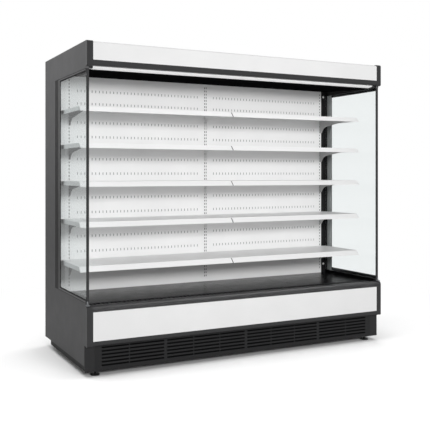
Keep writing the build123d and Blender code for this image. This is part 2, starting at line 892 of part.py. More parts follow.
with BuildPart() as shelf_brackets:
    for places, outline in (
        (end_bracket_places, end_bracket_outline),
        (middle_bracket_places, middle_bracket_outline),
    ):
        for bracket_x in places:
            for shelf_top in shelf_tops:
                with BuildSketch(side_plane(bracket_x - bracket_thickness / 2)):
                    outline(shelf_top)
                    bracket_hooks(shelf_top)
    extrude(amount=bracket_thickness)
save(shelf_brackets.part, "shelf_brackets")

# ---- shelves: a folded tray with its sloping ticket rail ----
tray_rear = back_plane - tray_rear_gap
bays = {
    "left": (-inner_half + shelf_end_gap, -bay_gap / 2),
    "right": (bay_gap / 2, inner_half - shelf_end_gap),
}


def tray(xs, top):
    """A sheet tray, turned down at the front and at both ends."""
    with BuildPart() as folded:
        slab(xs, (tray_front, tray_rear), (top - tray_flange, top))
        inside = [(xs[0] + sheet, xs[1] - sheet), (tray_front + sheet, tray_rear)]
        slab(*inside, (top - tray_flange, top - sheet), mode=Mode.SUBTRACT)
        outer_edges = folded.edges().filter_by(Axis.X).group_by(Axis.Z)[-1]
        fillet(outer_edges, tray_edge_round)
    return folded


def ticket_rail(xs, top):
    """A sloping ticket strip whose foot is further forward than its head."""
    face_bottom = tray_front - ticket_rail_reach
    low = top - ticket_rail_height
    with BuildPart() as rail:
        with BuildSketch(side_plane(xs[0])):
            side_view(
                [
                    (tray_front, top - sheet),
                    (tray_front - ticket_rail_wall, top - sheet),
                    (face_bottom, low + ticket_rail_wall),
                    (face_bottom, low),
                    (face_bottom + 2 * ticket_rail_wall, low),
                    (tray_front, top - tray_flange),
                    (tray_front, top - tray_flange + ticket_rail_wall),
                    (face_bottom + 2 * ticket_rail_wall, low + ticket_rail_wall),
                    (tray_front, top - sheet - 2 * ticket_rail_wall),
                ]
            )
        extrude(amount=xs[1] - xs[0])
    return rail


for bay, bay_span in bays.items():
    for level, shelf_top in enumerate(reversed(shelf_tops), start=1):
        pieces = [tray(bay_span, shelf_top).part, ticket_rail(bay_span, shelf_top).part]
        save(Compound(children=pieces), f"shelf_{bay}_{level}")

# ---- canopy: white fascia, dark trim, lamp, air outlet and dark liner ----
with BuildPart() as canopy_fascia:
    with BuildSketch(side_plane(-inner_half)) as fascia_side:
        side_rectangle((0.0, fascia_flange), (fascia_bottom, fascia_top))
        fascia_corner = fascia_side.vertices().group_by(Axis.X)[0].sort_by(Axis.Y)[-1]
        fillet(fascia_corner, fascia_radius)
        with BuildSketch(mode=Mode.SUBTRACT) as fascia_inside:
            side_rectangle((sheet, fascia_flange), (fascia_bottom, fascia_top - sheet))
            inner_corner = fascia_inside.vertices().group_by(Axis.X)[0].sort_by(Axis.Y)[-1]
            fillet(inner_corner, fascia_radius - sheet)
    extrude(amount=2 * inner_half)
    clear_of_caps()
save(canopy_fascia.part, "canopy_fascia")

lamp_half = inner_half - lamp_end_gap
with BuildPart() as canopy_trim:
    with BuildSketch(side_plane(-inner_half)) as trim_side:
        side_rectangle((0.0, canopy_trim_depth), (canopy_trim_bottom, fascia_bottom))
        trim_corner = trim_side.vertices().group_by(Axis.X)[0].sort_by(Axis.Y)[0]
        fillet(trim_corner, canopy_trim_radius)
        offset(amount=-profile_wall, mode=Mode.SUBTRACT)
        web = (canopy_trim_depth - profile_wall, canopy_trim_depth)
        side_rectangle(web, (fascia_bottom, roof_bottom))
        side_rectangle((web[0], fascia_flange), (roof_bottom - profile_wall, roof_bottom))
    extrude(amount=2 * inner_half)
    clear_of_caps()
    for side in (-1, 1):
        block = sorted((side * lamp_half, side * inner_half))
        slab(block, (canopy_trim_depth, lamp_rear), (lamp_top - lamp_height, lamp_top))
save(canopy_trim.part, "canopy_trim")

with BuildPart() as lamp_diffuser:
    with BuildSketch(side_plane(-lamp_half)):
        side_view(
            [
                (canopy_trim_depth, lamp_top),
                (canopy_trim_depth, lamp_top - lamp_front_drop),
                (canopy_trim_depth + lamp_break, lamp_top - lamp_break_drop),
                (lamp_rear, lamp_top - lamp_height),
                (lamp_rear, lamp_top),
            ]
        )
        offset(amount=-lamp_wall, mode=Mode.SUBTRACT)
    extrude(amount=2 * lamp_half)
save(lamp_diffuser.part, "lamp_diffuser")

cells_along = int((2 * inner_half - 2 * honeycomb_rim) / honeycomb_pitch)
cell_depth = (honeycomb_depth - 2 * honeycomb_rim - honeycomb_wall) / 2
with BuildPart() as air_outlet_honeycomb:
    with BuildSketch(Plane.XY.offset(canopy_underside)):
        with Locations((0, front + (lamp_rear + honeycomb_rear) / 2)):
            Rectangle(2 * inner_half, honeycomb_depth)
            with GridLocations(honeycomb_pitch, cell_depth + honeycomb_wall, cells_along, 2):
                Rectangle(honeycomb_pitch - honeycomb_wall, cell_depth, mode=Mode.SUBTRACT)
    extrude(amount=honeycomb_thickness)
save(air_outlet_honeycomb.part, "air_outlet_honeycomb")

with BuildPart() as canopy_liner:
    with BuildSketch(side_plane(-inner_half)):
        side_view(
            [
                (honeycomb_rear, canopy_underside),
                (back_plane, canopy_underside + liner_rise),
                (back_plane, canopy_underside + liner_rise + sheet),
                (honeycomb_rear + sheet, canopy_underside + sheet),
                (honeycomb_rear + sheet, canopy_underside + honeycomb_thickness),
                (honeycomb_rear, canopy_underside + honeycomb_thickness),
            ]
        )
    extrude(amount=2 * inner_half)
save(canopy_liner.part, "canopy_liner")

# ---- evaporator behind the fans, at the foot of the rear duct ----
coil_top = coil_bottom + coil_height
coil_cells = int(2 * coil_half_width / coil_fin_pitch)
cell_height = (coil_height - (coil_rows + 1) * coil_fin) / coil_rows
with BuildPart() as evaporator:
    with BuildSketch(front_plane(coil_front)):
        with Locations((0, (coil_bottom + coil_top) / 2)):
            Rectangle(2 * coil_half_width, coil_height)
            with GridLocations(coil_fin_pitch, cell_height + coil_fin, coil_cells, coil_rows):
                Rectangle(coil_fin_pitch - coil_fin, cell_height, mode=Mode.SUBTRACT)
    extrude(amount=coil_depth)
    for side in (-1, 1):
        plate_x = sorted((side * coil_half_width, side * (coil_half_width - coil_end_sheet)))
        slab(plate_x, (coil_front, coil_front + coil_depth), (tub_floor_top, coil_top))
save(evaporator.part, "evaporator")

# ---- evaporator fans: plate, motors on cross bars and bladed wheels ----
fan_places = (-evaporator_fan_place, evaporator_fan_place)
with BuildPart() as fan_plate:
    with BuildSketch(front_plane(fan_plate_place)):
        with Locations((0, (tub_floor_top + deck_under) / 2)):
            Rectangle(2 * inner_half, deck_under - tub_floor_top)
        with Locations([(x, motor_height) for x in fan_places]):
            Circle(fan_plate_hole_radius, mode=Mode.SUBTRACT)
    extrude(amount=sheet)
    slab(
        (-inner_half, inner_half),
        (fan_plate_place - beam_flange, fan_plate_place),
        (deck_under - sheet, deck_under),
    )
save(fan_plate.part, "fan_plate")


def y_cylinder(x, depth, z, radius, length, mode=Mode.ADD):
    """A cylinder along y that starts at a depth behind the front face."""
    with Locations(Location((x, front + depth + length / 2, z), (90, 0, 0))):
        Cylinder(radius, length, mode=mode)


def fan_motor(x, depth, z, hole_radius, body_radius, body_length, bar, shaft_length):
    """A motor in front of its cross bar, with its shaft through to the fan."""
    half_bar = hole_radius + motor_bar_overlap
    bar_heights = (z - motor_bar_height / 2, z + motor_bar_height / 2)
    slab((x - half_bar, x + half_bar), (depth - bar, depth), bar_heights)
    y_cylinder(x, depth - bar - body_length, z, body_radius, body_length)
    y_cylinder(x, depth, z, fan_shaft_radius, shaft_length)


def fan_wheel(x, depth, z, tip_radius, hub_radius, hub_length):
    """A bladed wheel that turns about a line along y."""
    root_sink = 2 * fan_blade
    blade_length = tip_radius - hub_radius + root_sink
    spin_plane = Plane(origin=(x, front + depth, z), x_dir=(1, 0, 0), z_dir=(0, 1, 0))
    chord = min(fan_blade_chord, hub_length)
    with BuildPart(spin_plane) as wheel:
        upright = (Align.CENTER, Align.CENTER, Align.MIN)
        Cylinder(hub_radius, hub_length, align=upright)
        with Locations((0, 0, hub_length / 2)):
            with PolarLocations(hub_radius - root_sink + blade_length / 2, fan_blades):
                Box(blade_length, chord, fan_blade, rotation=(fan_blade_pitch, 0, 0))
        Cylinder(fan_shaft_radius + running_gap, hub_length, align=upright, mode=Mode.SUBTRACT)
    return wheel


fan_depth = fan_plate_place + fan_stand_off
with BuildPart() as evaporator_fan_motors:
    for x in fan_places:
        fan_motor(
            x,
            fan_plate_place,
            motor_height,
            fan_plate_hole_radius,
            motor_radius,
            motor_length,
            motor_bar_thickness,
            fan_stand_off + fan_hub_length,
        )
save(evaporator_fan_motors.part, "evaporator_fan_motors")
for side_name, x in zip(("left", "right"), fan_places):
    wheel = fan_wheel(x, fan_depth, motor_height, fan_tip_radius, fan_hub_radius, fan_hub_length)
    save(wheel.part, f"evaporator_fan_{side_name}")

# ---- condensing unit on the machine plate ----
condenser_top = machine_floor + condenser_height
condenser_middle = (condenser_start + condenser_end) / 2
condenser_width = condenser_end - condenser_start
condenser_cells = int(condenser_width / condenser_fin_pitch)
condenser_cell = (condenser_height - (condenser_rows + 1) * coil_fin) / condenser_rows
condenser_rear = condenser_place + condenser_depth
fan_axis_height = machine_floor + condenser_height / 2
with BuildPart() as condenser:
    with BuildSketch(front_plane(condenser_place)):
        with Locations((-condenser_middle, fan_axis_height)):
            Rectangle(condenser_width, condenser_height)
            with GridLocations(
                condenser_fin_pitch, condenser_cell + coil_fin, condenser_cells, condenser_rows
            ):
                Rectangle(condenser_fin_pitch - coil_fin, condenser_cell, mode=Mode.SUBTRACT)
    extrude(amount=condenser_depth)
save(condenser.part, "condenser")

shroud_rear = condenser_rear + shroud_depth
with BuildPart() as condenser_fan_shroud:
    slab(
        (condenser_start, condenser_end),
        (condenser_rear, shroud_rear),
        (machine_floor, condenser_top),
    )
    slab(
        (condenser_start + sheet, condenser_end - sheet),
        (condenser_rear, shroud_rear - sheet),
        (machine_floor + sheet, condenser_top - sheet),
        mode=Mode.SUBTRACT,
    )
    y_cylinder(
        condenser_middle,
        shroud_rear - sheet,
        fan_axis_height,
        condenser_hole_radius,
        sheet,
        mode=Mode.SUBTRACT,
    )
    condenser_bar = sheet
    y_bar = shroud_rear + condenser_bar
    half_bar = condenser_hole_radius + motor_bar_overlap
    slab(
        (condenser_middle - half_bar, condenser_middle + half_bar),
        (shroud_rear, y_bar),
        (fan_axis_height - motor_bar_height / 2, fan_axis_height + motor_bar_height / 2),
    )
    y_cylinder(
        condenser_middle,
        y_bar,
        fan_axis_height,
        condenser_motor_radius,
        condenser_motor_length,
    )
    shaft_start = shroud_rear - fan_stand_off - condenser_fan_length
    y_cylinder(
        condenser_middle,
        shaft_start,
        fan_axis_height,
        fan_shaft_radius,
        shroud_rear - shaft_start,
    )
save(condenser_fan_shroud.part, "condenser_fan_shroud")
condenser_fan = fan_wheel(
    condenser_middle,
    shaft_start,
    fan_axis_height,
    condenser_fan_tip,
    condenser_fan_hub,
    condenser_fan_length,
)
save(condenser_fan.part, "condenser_fan")

compressor_end = compressor_start + compressor_length
compressor_height = machine_floor + compressor_lift + compressor_radius
with BuildPart() as compressor:
    with Locations(
        Location(
            ((compressor_start + compressor_end) / 2, front + compressor_place, compressor_height),
            (0, 90, 0),
        )
    ):
        Cylinder(compressor_radius, compressor_length)
    fillet(compressor.edges().filter_by(GeomType.CIRCLE), compressor_round)
    for centre_x in (
        compressor_start + compressor_foot_place,
        compressor_end - compressor_foot_place,
    ):
        slab(
            (centre_x - compressor_foot_width / 2, centre_x + compressor_foot_width / 2),
            (compressor_place - compressor_radius, compressor_place + compressor_radius),
            (machine_floor, machine_floor + compressor_foot_height),
        )
save(compressor.part, "compressor")


def pipe(points, radius):
    """A pipe along straight runs joined by equal bends."""
    with BuildPart() as run:
        with BuildLine() as path:
            FilletPolyline(*[(x, front + depth, z) for x, depth, z in points], radius=pipe_bend)
        start = path.wires()[0]
        with BuildSketch(Plane(origin=start @ 0, z_dir=start % 0)):
            Circle(radius)
        sweep()
    return run


suction_height = (coil_bottom + coil_top) / 2
liquid_height = coil_bottom + coil_height / 4
discharge_turn = compressor_start - 2 * pipe_bend - compressor_radius
suction_line = pipe(
    [
        (coil_half_width, coil_middle, suction_height),
        (suction_drop_place, coil_middle, suction_height),
        (suction_drop_place, coil_middle, compressor_height),
        (suction_drop_place, compressor_place, compressor_height),
        (compressor_end, compressor_place, compressor_height),
    ],
    suction_pipe_radius,
)
discharge_line = pipe(
    [
        (compressor_start, compressor_place, compressor_height),
        (discharge_turn, compressor_place, compressor_height),
        (discharge_turn, shroud_rear + pipe_bend * 2, compressor_height),
        (condenser_start - 2 * pipe_bend, shroud_rear + pipe_bend * 2, compressor_height),
        (
            condenser_start - 2 * pipe_bend,
            condenser_place + condenser_depth / 2,
            compressor_height,
        ),
        (condenser_start, condenser_place + condenser_depth / 2, compressor_height),
    ],
    liquid_pipe_radius,
)
liquid_line = pipe(
    [
        (condenser_end, condenser_place + condenser_depth / 2, fan_axis_height),
        (liquid_drop_place, condenser_place + condenser_depth / 2, fan_axis_height),
        (liquid_drop_place, coil_middle, fan_axis_height),
        (liquid_drop_place, coil_middle, liquid_height),
        (coil_half_width, coil_middle, liquid_height),
    ],
    liquid_pipe_radius,
)
drain_tray_top = base_top + drain_tray_height
with BuildPart() as drain_pipe:
    drain_low = base_top + drain_tray_height - drain_pipe_end_gap
    with Locations((drain_x, front + drain_pipe_place, (drain_low + tub_floor_top) / 2)):
        Cylinder(drain_pipe_radius, tub_floor_top - drain_low)
        Cylinder(drain_pipe_radius - sheet, tub_floor_top - drain_low, mode=Mode.SUBTRACT)
lines = [suction_line, discharge_line, liquid_line, drain_pipe]
save(Compound(children=[line.part for line in lines]), "pipework")

# ---- meltwater tray, resting across the base rails ----
with BuildPart() as drain_tray:
    slab(
        (drain_tray_start, drain_tray_end),
        (drain_tray_front, drain_tray_rear),
        (base_top - drain_tray_sink, drain_tray_top),
    )
    slab(
        (drain_tray_start + sheet, drain_tray_end - sheet),
        (drain_tray_front + sheet, drain_tray_rear - sheet),
        (base_top - drain_tray_sink + sheet, drain_tray_top),
        mode=Mode.SUBTRACT,
    )
    for depths in (
        (front_rail[0] + rail_wall, drain_tray_front),
        (drain_tray_rear, rear_rail[1] - rail_wall),
    ):
        slab((drain_tray_start, drain_tray_end), depths, (base_top, base_top + sheet))
save(drain_tray.part, "drain_tray")

# ---- control box with its rocker switch, key and cable gland ----
control_low = base_top + rail_wall
control_high = control_low + control_height
switch_x = control_start + switch_from_end
key_x = control_start + key_from_end
control_mid = (control_low + control_high) / 2
socket_outer = (switch_width / 2 + switch_wall, switch_height / 2 + switch_wall)
control_box_span = ((control_start, control_end), (control_place, control_place + control_depth))
with BuildPart() as control_case:
    slab(*control_box_span, (control_low, control_high))
    slab(
        (control_start + sheet, control_end - sheet),
        (control_place + sheet, control_place + control_depth - sheet),
        (control_low + sheet, control_high - sheet),
        mode=Mode.SUBTRACT,
    )
    slab(
        (switch_x - socket_outer[0], switch_x + socket_outer[0]),
        (control_place, control_place + sheet),
        (control_mid - socket_outer[1], control_mid + socket_outer[1]),
        mode=Mode.SUBTRACT,
    )
    y_cylinder(
        key_x, control_place, control_mid, key_radius + slip_gap, sheet, mode=Mode.SUBTRACT
    )
    slab(
        (control_start, control_end),
        (front_rail[0], control_place),
        (base_top, control_low),
    )
    slab(
        (control_start, control_end),
        (control_place, control_place + control_depth),
        (base_top, control_low),
    )
    with Locations(
        Location(
            (
                control_start - gland_length / 2,
                front + control_place + control_depth / 2,
                control_mid,
            ),
            (0, 90, 0),
        )
    ):
        Cylinder(gland_radius, gland_length)
with BuildPart() as switch_socket:
    slab(
        (switch_x - socket_outer[0], switch_x + socket_outer[0]),
        (control_place, control_place + switch_depth),
        (control_mid - socket_outer[1], control_mid + socket_outer[1]),
    )
    slab(
        (switch_x - switch_width / 2 - slip_gap, switch_x + switch_width / 2 + slip_gap),
        (control_place, control_place + switch_depth),
        (
            control_mid - switch_height / 2 - switch_clearance,
            control_mid + switch_height / 2 + switch_clearance,
        ),
        mode=Mode.SUBTRACT,
    )
    with Locations(
        Location((switch_x, front + control_place + switch_depth / 2, control_mid), (0, 90, 0))
    ):
        Cylinder(switch_pin_radius + running_gap, 2 * socket_outer[0], mode=Mode.SUBTRACT)
save(Compound(children=[control_case.part, switch_socket.part]), "control_box")

with BuildPart() as level_rocker:
    slab(
        (switch_x - switch_width / 2, switch_x + switch_width / 2),
        (control_place + slip_gap, control_place + slip_gap + rocker_depth),
        (control_mid - switch_height / 2, control_mid + switch_height / 2),
    )
    with Locations(
        Location((switch_x, front + control_place + switch_depth / 2, control_mid), (0, 90, 0))
    ):
        Cylinder(switch_pin_radius, 2 * socket_outer[0] - 2 * slip_gap)
rocker_axis = Axis((switch_x, front + control_place + switch_depth / 2, control_mid), (1, 0, 0))
with BuildPart() as main_switch:
    add(level_rocker.part.rotate(rocker_axis, -switch_throw))
save(main_switch.part, "main_switch")

with BuildPart() as mode_key:
    y_cylinder(key_x, control_place - key_proud, control_mid, key_radius, key_proud + sheet)
    y_cylinder(
        key_x, control_place + sheet, control_mid, key_radius + key_collar, key_collar_length
    )
save(mode_key.part, "mode_key")
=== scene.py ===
import math

import bmesh
import bpy
from bpy.props import FloatProperty, FloatVectorProperty, PointerProperty
from bpy.types import Operator, Panel, PropertyGroup
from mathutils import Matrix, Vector


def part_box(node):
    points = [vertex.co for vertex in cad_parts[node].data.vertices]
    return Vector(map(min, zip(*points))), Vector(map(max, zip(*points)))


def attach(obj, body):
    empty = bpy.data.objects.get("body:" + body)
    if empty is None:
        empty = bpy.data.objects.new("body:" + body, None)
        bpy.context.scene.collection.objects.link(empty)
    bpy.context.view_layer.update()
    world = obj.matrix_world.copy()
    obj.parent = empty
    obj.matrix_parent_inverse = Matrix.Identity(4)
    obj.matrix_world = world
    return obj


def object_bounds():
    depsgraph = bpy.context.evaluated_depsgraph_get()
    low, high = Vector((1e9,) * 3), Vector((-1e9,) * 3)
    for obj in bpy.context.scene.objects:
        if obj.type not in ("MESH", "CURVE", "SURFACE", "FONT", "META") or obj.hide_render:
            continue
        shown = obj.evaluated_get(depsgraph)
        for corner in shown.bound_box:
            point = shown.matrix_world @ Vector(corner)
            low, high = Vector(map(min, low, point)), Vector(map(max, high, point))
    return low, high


bl_info = {
    "name": "Open Display Fridge",
    "version": (1, 0, 0),
    "blender": (4, 5, 0),
    "location": "View3D > Sidebar > Fridge",
    "description": "Finishes an open multideck display fridge and sets it in a studio",
    "category": "Object",
}

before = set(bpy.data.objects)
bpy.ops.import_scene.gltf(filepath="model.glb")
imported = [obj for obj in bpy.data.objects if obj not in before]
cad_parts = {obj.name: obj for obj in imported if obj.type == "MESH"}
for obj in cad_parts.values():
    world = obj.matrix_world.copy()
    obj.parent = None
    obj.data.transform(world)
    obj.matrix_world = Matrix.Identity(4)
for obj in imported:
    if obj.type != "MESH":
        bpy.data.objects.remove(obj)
cad_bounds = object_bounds()

MM = 0.001
CABINET = "cabinet"  # the body that everything fixed rides on
SIDES = {"left": -1, "right": 1}
SHELVES = [f"shelf_{bay}_{level}" for bay in SIDES for level in range(1, 6)]


def linear(hex_colour):
    """Linear colour with alpha from an sRGB hex value."""
    channels = [int(hex_colour[place:place + 2], 16) / 255 for place in (1, 3, 5)]
    return tuple(
        part / 12.92 if part <= 0.04045 else ((part + 0.055) / 1.055) ** 2.4 for part in channels
    ) + (1.0,)


def colour_property(name, description, hex_colour):
    """A colour that a user can change, with its default as sRGB hex."""
    return FloatVectorProperty(
        name=name,
        description=description,
        subtype="COLOR",
        size=4,
        min=0.0,
        max=1.0,
        default=linear(hex_colour),
    )


def length_property(name, description, metres):
    """A length that a user can change, in metres."""
    return FloatProperty(
        name=name,
        description=description,
        default=metres,
        min=0.0,
        subtype="DISTANCE",
        unit="LENGTH",
    )


class FridgeColours(PropertyGroup):
    """Colours of the fridge's finishes."""

    side_grey: colour_property("Side grey", "Paint of the end panels", "#5e5e5f")
    charcoal: colour_property("Charcoal", "Caps, extrusions and rail end clips", "#2f2f30")
    trim_black: colour_property("Trim black", "Plinth posts and glass trim", "#232324")
    # Also painted shade on the shelf brackets at the left end.
    strip_grey: colour_property("Strip grey", "Cover strips on the glass trim", "#6c6c6d")
    front_white: colour_property("Front white", "Fascia and lower front panel", "#e4e4e4")
    inner_white: colour_property("Inner white", "Back panels, uprights and shelves", "#f4f4f4")
    rail_white: colour_property("Rail white", "Ticket rails on the shelves", "#efefef")
    bracket_grey: colour_property("Bracket grey", "Brackets under the shelf ends", "#b4b4b4")
    deck_charcoal: colour_property("Deck charcoal", "Glossy deck pans", "#1e1e1f")
    # Its dark inner sheets include the right corner filler, whose black is painted shade.
    grille_black: colour_property("Grille black", "Kick plate and dark inner sheets", "#1f1f20")
    # Its felt includes the black sheets behind the uprights' slots, whose colour is painted shade.
    outlet_black: colour_property("Outlet black", "Canopy liner, inner faces and felt", "#111112")
    lamp_white: colour_property("Lamp white", "Opal lamp cover", "#f6f6f6")
    glass_tint: colour_property("Glass tint", "What one face of a pane lets through", "#fbfcfc")
    zinc: colour_property("Zinc", "Galvanised sheet and plated screws", "#b9bcbf")
    back_white: colour_property("Back white", "Coated sheet of the back and the roof", "#d9dbdb")
    aluminium: colour_property("Aluminium", "Rolled fins of the coils", "#c9cbcd")
    copper: colour_property("Copper", "Drawn tube", "#c07a4f")
    foam: colour_property("Foam", "Rigid foam inside the panels", "#d9c48a")
    # Painted shade: this grey sheet stands in for the dark inside the air duct behind the
    # perforations.
    duct_shade_grey: colour_property("Felt grey", "Lining behind the perforated panels", "#7c7d7e")


class FridgeSizes(PropertyGroup):
    """Sizes of the small pieces that go on the cabinet, and scales of its finishes."""

    gasket_width: length_property("Gasket width", "Rubber bead round the end glass", 3.2 * MM)
    gasket_height: length_property("Gasket height", "How far the bead stands on the pane", 5 * MM)
    peel: length_property("Orange peel", "Spacing of the waves in baked paint", 3 * MM)
    grain: length_property("Mould grain", "Spacing of the grain on moulded plastic", 1.2 * MM)
    pleat: length_property("Pleat", "Height of one fold of the dust filter", 4 * MM)
    spangle: length_property("Spangle", "Size of the crystals on galvanised sheet", 14 * MM)


class FridgeStudio(PropertyGroup):
    """The studio round the fridge."""

    backdrop: colour_property("Backdrop", "Background", "#ffffff")
    floor_paper: colour_property("Floor", "Paper under the fridge, as it is seen", "#e8e8e8")
    floor_bounce: colour_property("Floor bounce", "What the floor throws back up", "#909090")
    ambient: FloatProperty(
        name="Ambient", description="Even light from all round", default=0.46, min=0.0
    )
    fill_power: FloatProperty(
        name="Fill", description="Wide softbox in front", default=60.0, min=0.0, unit="POWER"
    )
    key_power: FloatProperty(
        name="Key", description="Narrow strip light in front", default=205.0, min=0.0, unit="POWER"
    )
    side_power: FloatProperty(
        name="Side", description="Softbox beside the left end", default=16.0, min=0.0, unit="POWER"
    )
    lamp_power: FloatProperty(
        name="Lamp", description="What the canopy lamp gives", default=1.5, min=0.0, unit="POWER"
    )
    gloss_power: FloatProperty(
        name="Gloss",
        description="Softbox that draws the bumper's highlight",
        default=90.0,
        min=0.0,
        unit="POWER",
    )
    floor_power: FloatProperty(
        name="Floor",
        description="Softbox that only the floor takes",
        default=420.0,
        min=0.0,
        unit="POWER",
    )


# ---- node and mesh helpers ----


def add_node(tree, kind, inputs=None, **settings):
    """Add a node with its settings; an input is given a value, or linked if it is a socket."""
    node = tree.nodes.new(kind)
    for name, value in settings.items():
        setattr(node, name, value)
    for socket, value in (inputs or {}).items():
        if isinstance(value, bpy.types.NodeSocket):
            tree.links.new(value, node.inputs[socket])
        else:
            node.inputs[socket].default_value = value
    return node


def new_material(name, values):
    """A node material; values go on the Principled shader's own sockets."""
    material = bpy.data.materials.new(name)
    material.use_nodes = True
    shader = material.node_tree.nodes["Principled BSDF"]
    for socket, value in values.items():
        shader.inputs[socket].default_value = value
    return material, material.node_tree, shader


def link_inputs(tree, shader, links):
    """Link sources to the shader's inputs by name."""
    for socket, source in links.items():
        tree.links.new(source, shader.inputs[socket])


def math_node(tree, operation, *values):
    """The result of one sum on values or sockets."""
    return add_node(
        tree, "ShaderNodeMath", dict(enumerate(values)), operation=operation
    ).outputs["Value"]


def object_place(tree):
    """Places on the object, in metres, for patterns with a real size."""
    return add_node(tree, "ShaderNodeTexCoord").outputs["Object"]


def cloudy_colour(tree, place, colour, spread, cloud):
    """A colour that lightens and darkens by a small share over clouds of a real size."""
    clouds = add_node(
        tree, "ShaderNodeTexNoise", {"Vector": place, "Scale": 1 / cloud, "Detail": 3.0}
    )
    share = add_node(
        tree,
        "ShaderNodeMapRange",
        {
            "Value": clouds.outputs["Fac"],
            "From Min": 0.3,
            "From Max": 0.7,
            "To Min": 1 - spread,
            "To Max": 1 + spread,
        },
    )
    tinted = add_node(
        tree, "ShaderNodeHueSaturation", {"Color": colour, "Value": share.outputs["Result"]}
    )
    return tinted.outputs["Color"]


def varied_roughness(tree, place, roughness, spread, patch):
    """Roughness that wanders by a small amount over patches of a real size."""
    patches = add_node(
        tree, "ShaderNodeTexNoise", {"Vector": place, "Scale": 1 / patch, "Detail": 2.0}
    )
    return add_node(
        tree,
        "ShaderNodeMapRange",
        {
            "Value": patches.outputs["Fac"],
            "From Min": 0.3,
            "From Max": 0.7,
            "To Min": roughness - spread,
            "To Max": roughness + spread,
        },
    ).outputs["Result"]


def relief(tree, height, depth):
    """A bump of a real depth from a pattern's height."""
    bump = add_node(tree, "ShaderNodeBump", {"Height": height, "Distance": depth})
    return bump.outputs["Normal"]


def baked_paint(name, colour, roughness, peel, depth, coat=0.0, specular=0.5):
    """Powder or polyester paint baked on sheet metal: orange peel, and a faint cloudiness."""
    material, tree, shader = new_material(
        name, {"Specular IOR Level": specular, "Coat Weight": coat, "Coat Roughness": 0.08}
    )
    place = object_place(tree)
    waves = add_node(
        tree, "ShaderNodeTexNoise", {"Vector": place, "Scale": 1 / peel, "Detail": 1.5}
    )
    links = {
        "Base Color": cloudy_colour(tree, place, colour, spread=0.02, cloud=260 * MM),
        "Roughness": varied_roughness(tree, place, roughness, spread=0.03, patch=90 * MM),
        "Normal": relief(tree, waves.outputs["Fac"], depth),
    }
    link_inputs(tree, shader, links)
    return material


def along(tree, source, axis):
    """One axis of the place on the object, or of its unbent normal."""
    coordinates = add_node(tree, "ShaderNodeTexCoord")
    split = add_node(tree, "ShaderNodeSeparateXYZ", {"Vector": coordinates.outputs[source]})
    return split.outputs[axis]


def compare(tree, value, limit, above=True):
    """One where a value lies above, or else below, a limit."""
    return math_node(tree, "GREATER_THAN" if above else "LESS_THAN", value, limit)


def facing_out(tree, outward=True):
    """One on faces that look away from the cabinet's middle, or towards it, along x."""
    end = math_node(tree, "SIGN", along(tree, "Object", "X"))
    away = math_node(tree, "MULTIPLY", along(tree, "Normal", "X"), end)
    return compare(tree, away, 0.8 if outward else -0.8, above=outward)


def recolour(tree, share, colour):
    """Lay another colour over the shader's base colour where share is one."""
    base = tree.nodes["Principled BSDF"].inputs["Base Color"]
    bare = base.links[0].from_socket
    mixed = add_node(
        tree, "ShaderNodeMixRGB", {"Fac": share, "Color1": bare, "Color2": colour}
    )
    tree.links.new(mixed.outputs["Color"], base)


def paint_node(names, material):
    """Give CAD nodes a finish in place of the one they came with."""
    for name in names:
        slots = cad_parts[name].material_slots
        if not slots:
            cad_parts[name].data.materials.append(material)
        for slot in slots:
            slot.material = material


def frame_corners(front, rear, foot, head):
    """The (y, z) corners of an end frame that is open at the front."""
    return [(front, foot), (rear, foot), (rear, head), (front, head)]


def sweep_between(name, x_plane, first_path, second_path, profile):
    """A mitred strip between two paths of (y, z) corners in the side view.

    profile holds (across, share) points: across along x, share of the way between the paths.
    """
    mesh = bmesh.new()
    rings = []
    for first, second in zip(first_path, second_path):
        near, far = Vector(first), Vector(second)
        rings.append([
            mesh.verts.new((x_plane + across, *near.lerp(far, share))) for across, share in profile
        ])
    close_rings(mesh, rings)
    return mesh_object(name, mesh)


def close_rings(mesh, rings):
    """Skin a row of equal rings of vertices and cap both its ends."""
    for first, second in zip(rings, rings[1:]):
        for index in range(len(first)):
            following = (index + 1) % len(first)
            mesh.faces.new((first[index], first[following], second[following], second[index]))
    mesh.faces.new(rings[0])
    mesh.faces.new(list(reversed(rings[-1])))
    bmesh.ops.recalc_face_normals(mesh, faces=mesh.faces)


def mesh_object(name, mesh, smooth=False):
    """Turn a bmesh into a named object in the scene."""
    data = bpy.data.meshes.new(name)
    mesh.to_mesh(data)
    mesh.free()
    for polygon in data.polygons:
        polygon.use_smooth = smooth
    made = bpy.data.objects.new(name, data)
    bpy.context.scene.collection.objects.link(made)
    return made


def merge_objects(name, pieces):
    """Join several new mesh objects into one named piece."""
    joined = bmesh.new()
    for piece in pieces:
        joined.from_mesh(piece.data)
        data = piece.data
        bpy.data.objects.remove(piece)
        bpy.data.meshes.remove(data)
    return mesh_object(name, joined)


def fit(piece, body, material):
    """Finish a new piece and let it ride on its CAD body."""
    piece.data.materials.append(material)
    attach(piece, body)
    return piece


def rounded_block(low, high, radius, segments=3):
    """A bmesh block with rounded edges between two corners."""
    mesh = bmesh.new()
    bmesh.ops.create_cube(mesh, size=1.0)
    size = Vector(high) - Vector(low)
    middle = (Vector(high) + Vector(low)) / 2
    for vert in mesh.verts:
        vert.co = Vector(a * b for a, b in zip(vert.co, size)) + middle
    bmesh.ops.bevel(
        mesh, geom=list(mesh.edges), offset=radius, segments=segments, affect="EDGES", profile=0.5
    )
    return mesh


# ---- finishes ----


def grey_powder_coated_steel(colours, sizes):
    """End panels: satin grey powder coat outside for a soft gradient, and black inside."""
    material = baked_paint(
        "Steel_Sheet_Grey_Powder_Coated_Black_Inside",
        colours.side_grey,
        0.48,
        sizes.peel,
        0.02 * MM,
    )
    tree = material.node_tree
    recolour(tree, facing_out(tree, outward=False), colours.outlet_black)
    return material


def white_polyester_coated_steel(colours, sizes):
    """Fascia and lower panel: smooth coil-coated white, satin."""
    return baked_paint(
        "Steel_Sheet_White_Polyester_Coil_Coated", colours.front_white, 0.38, 5 * MM, 0.01 * MM
    )


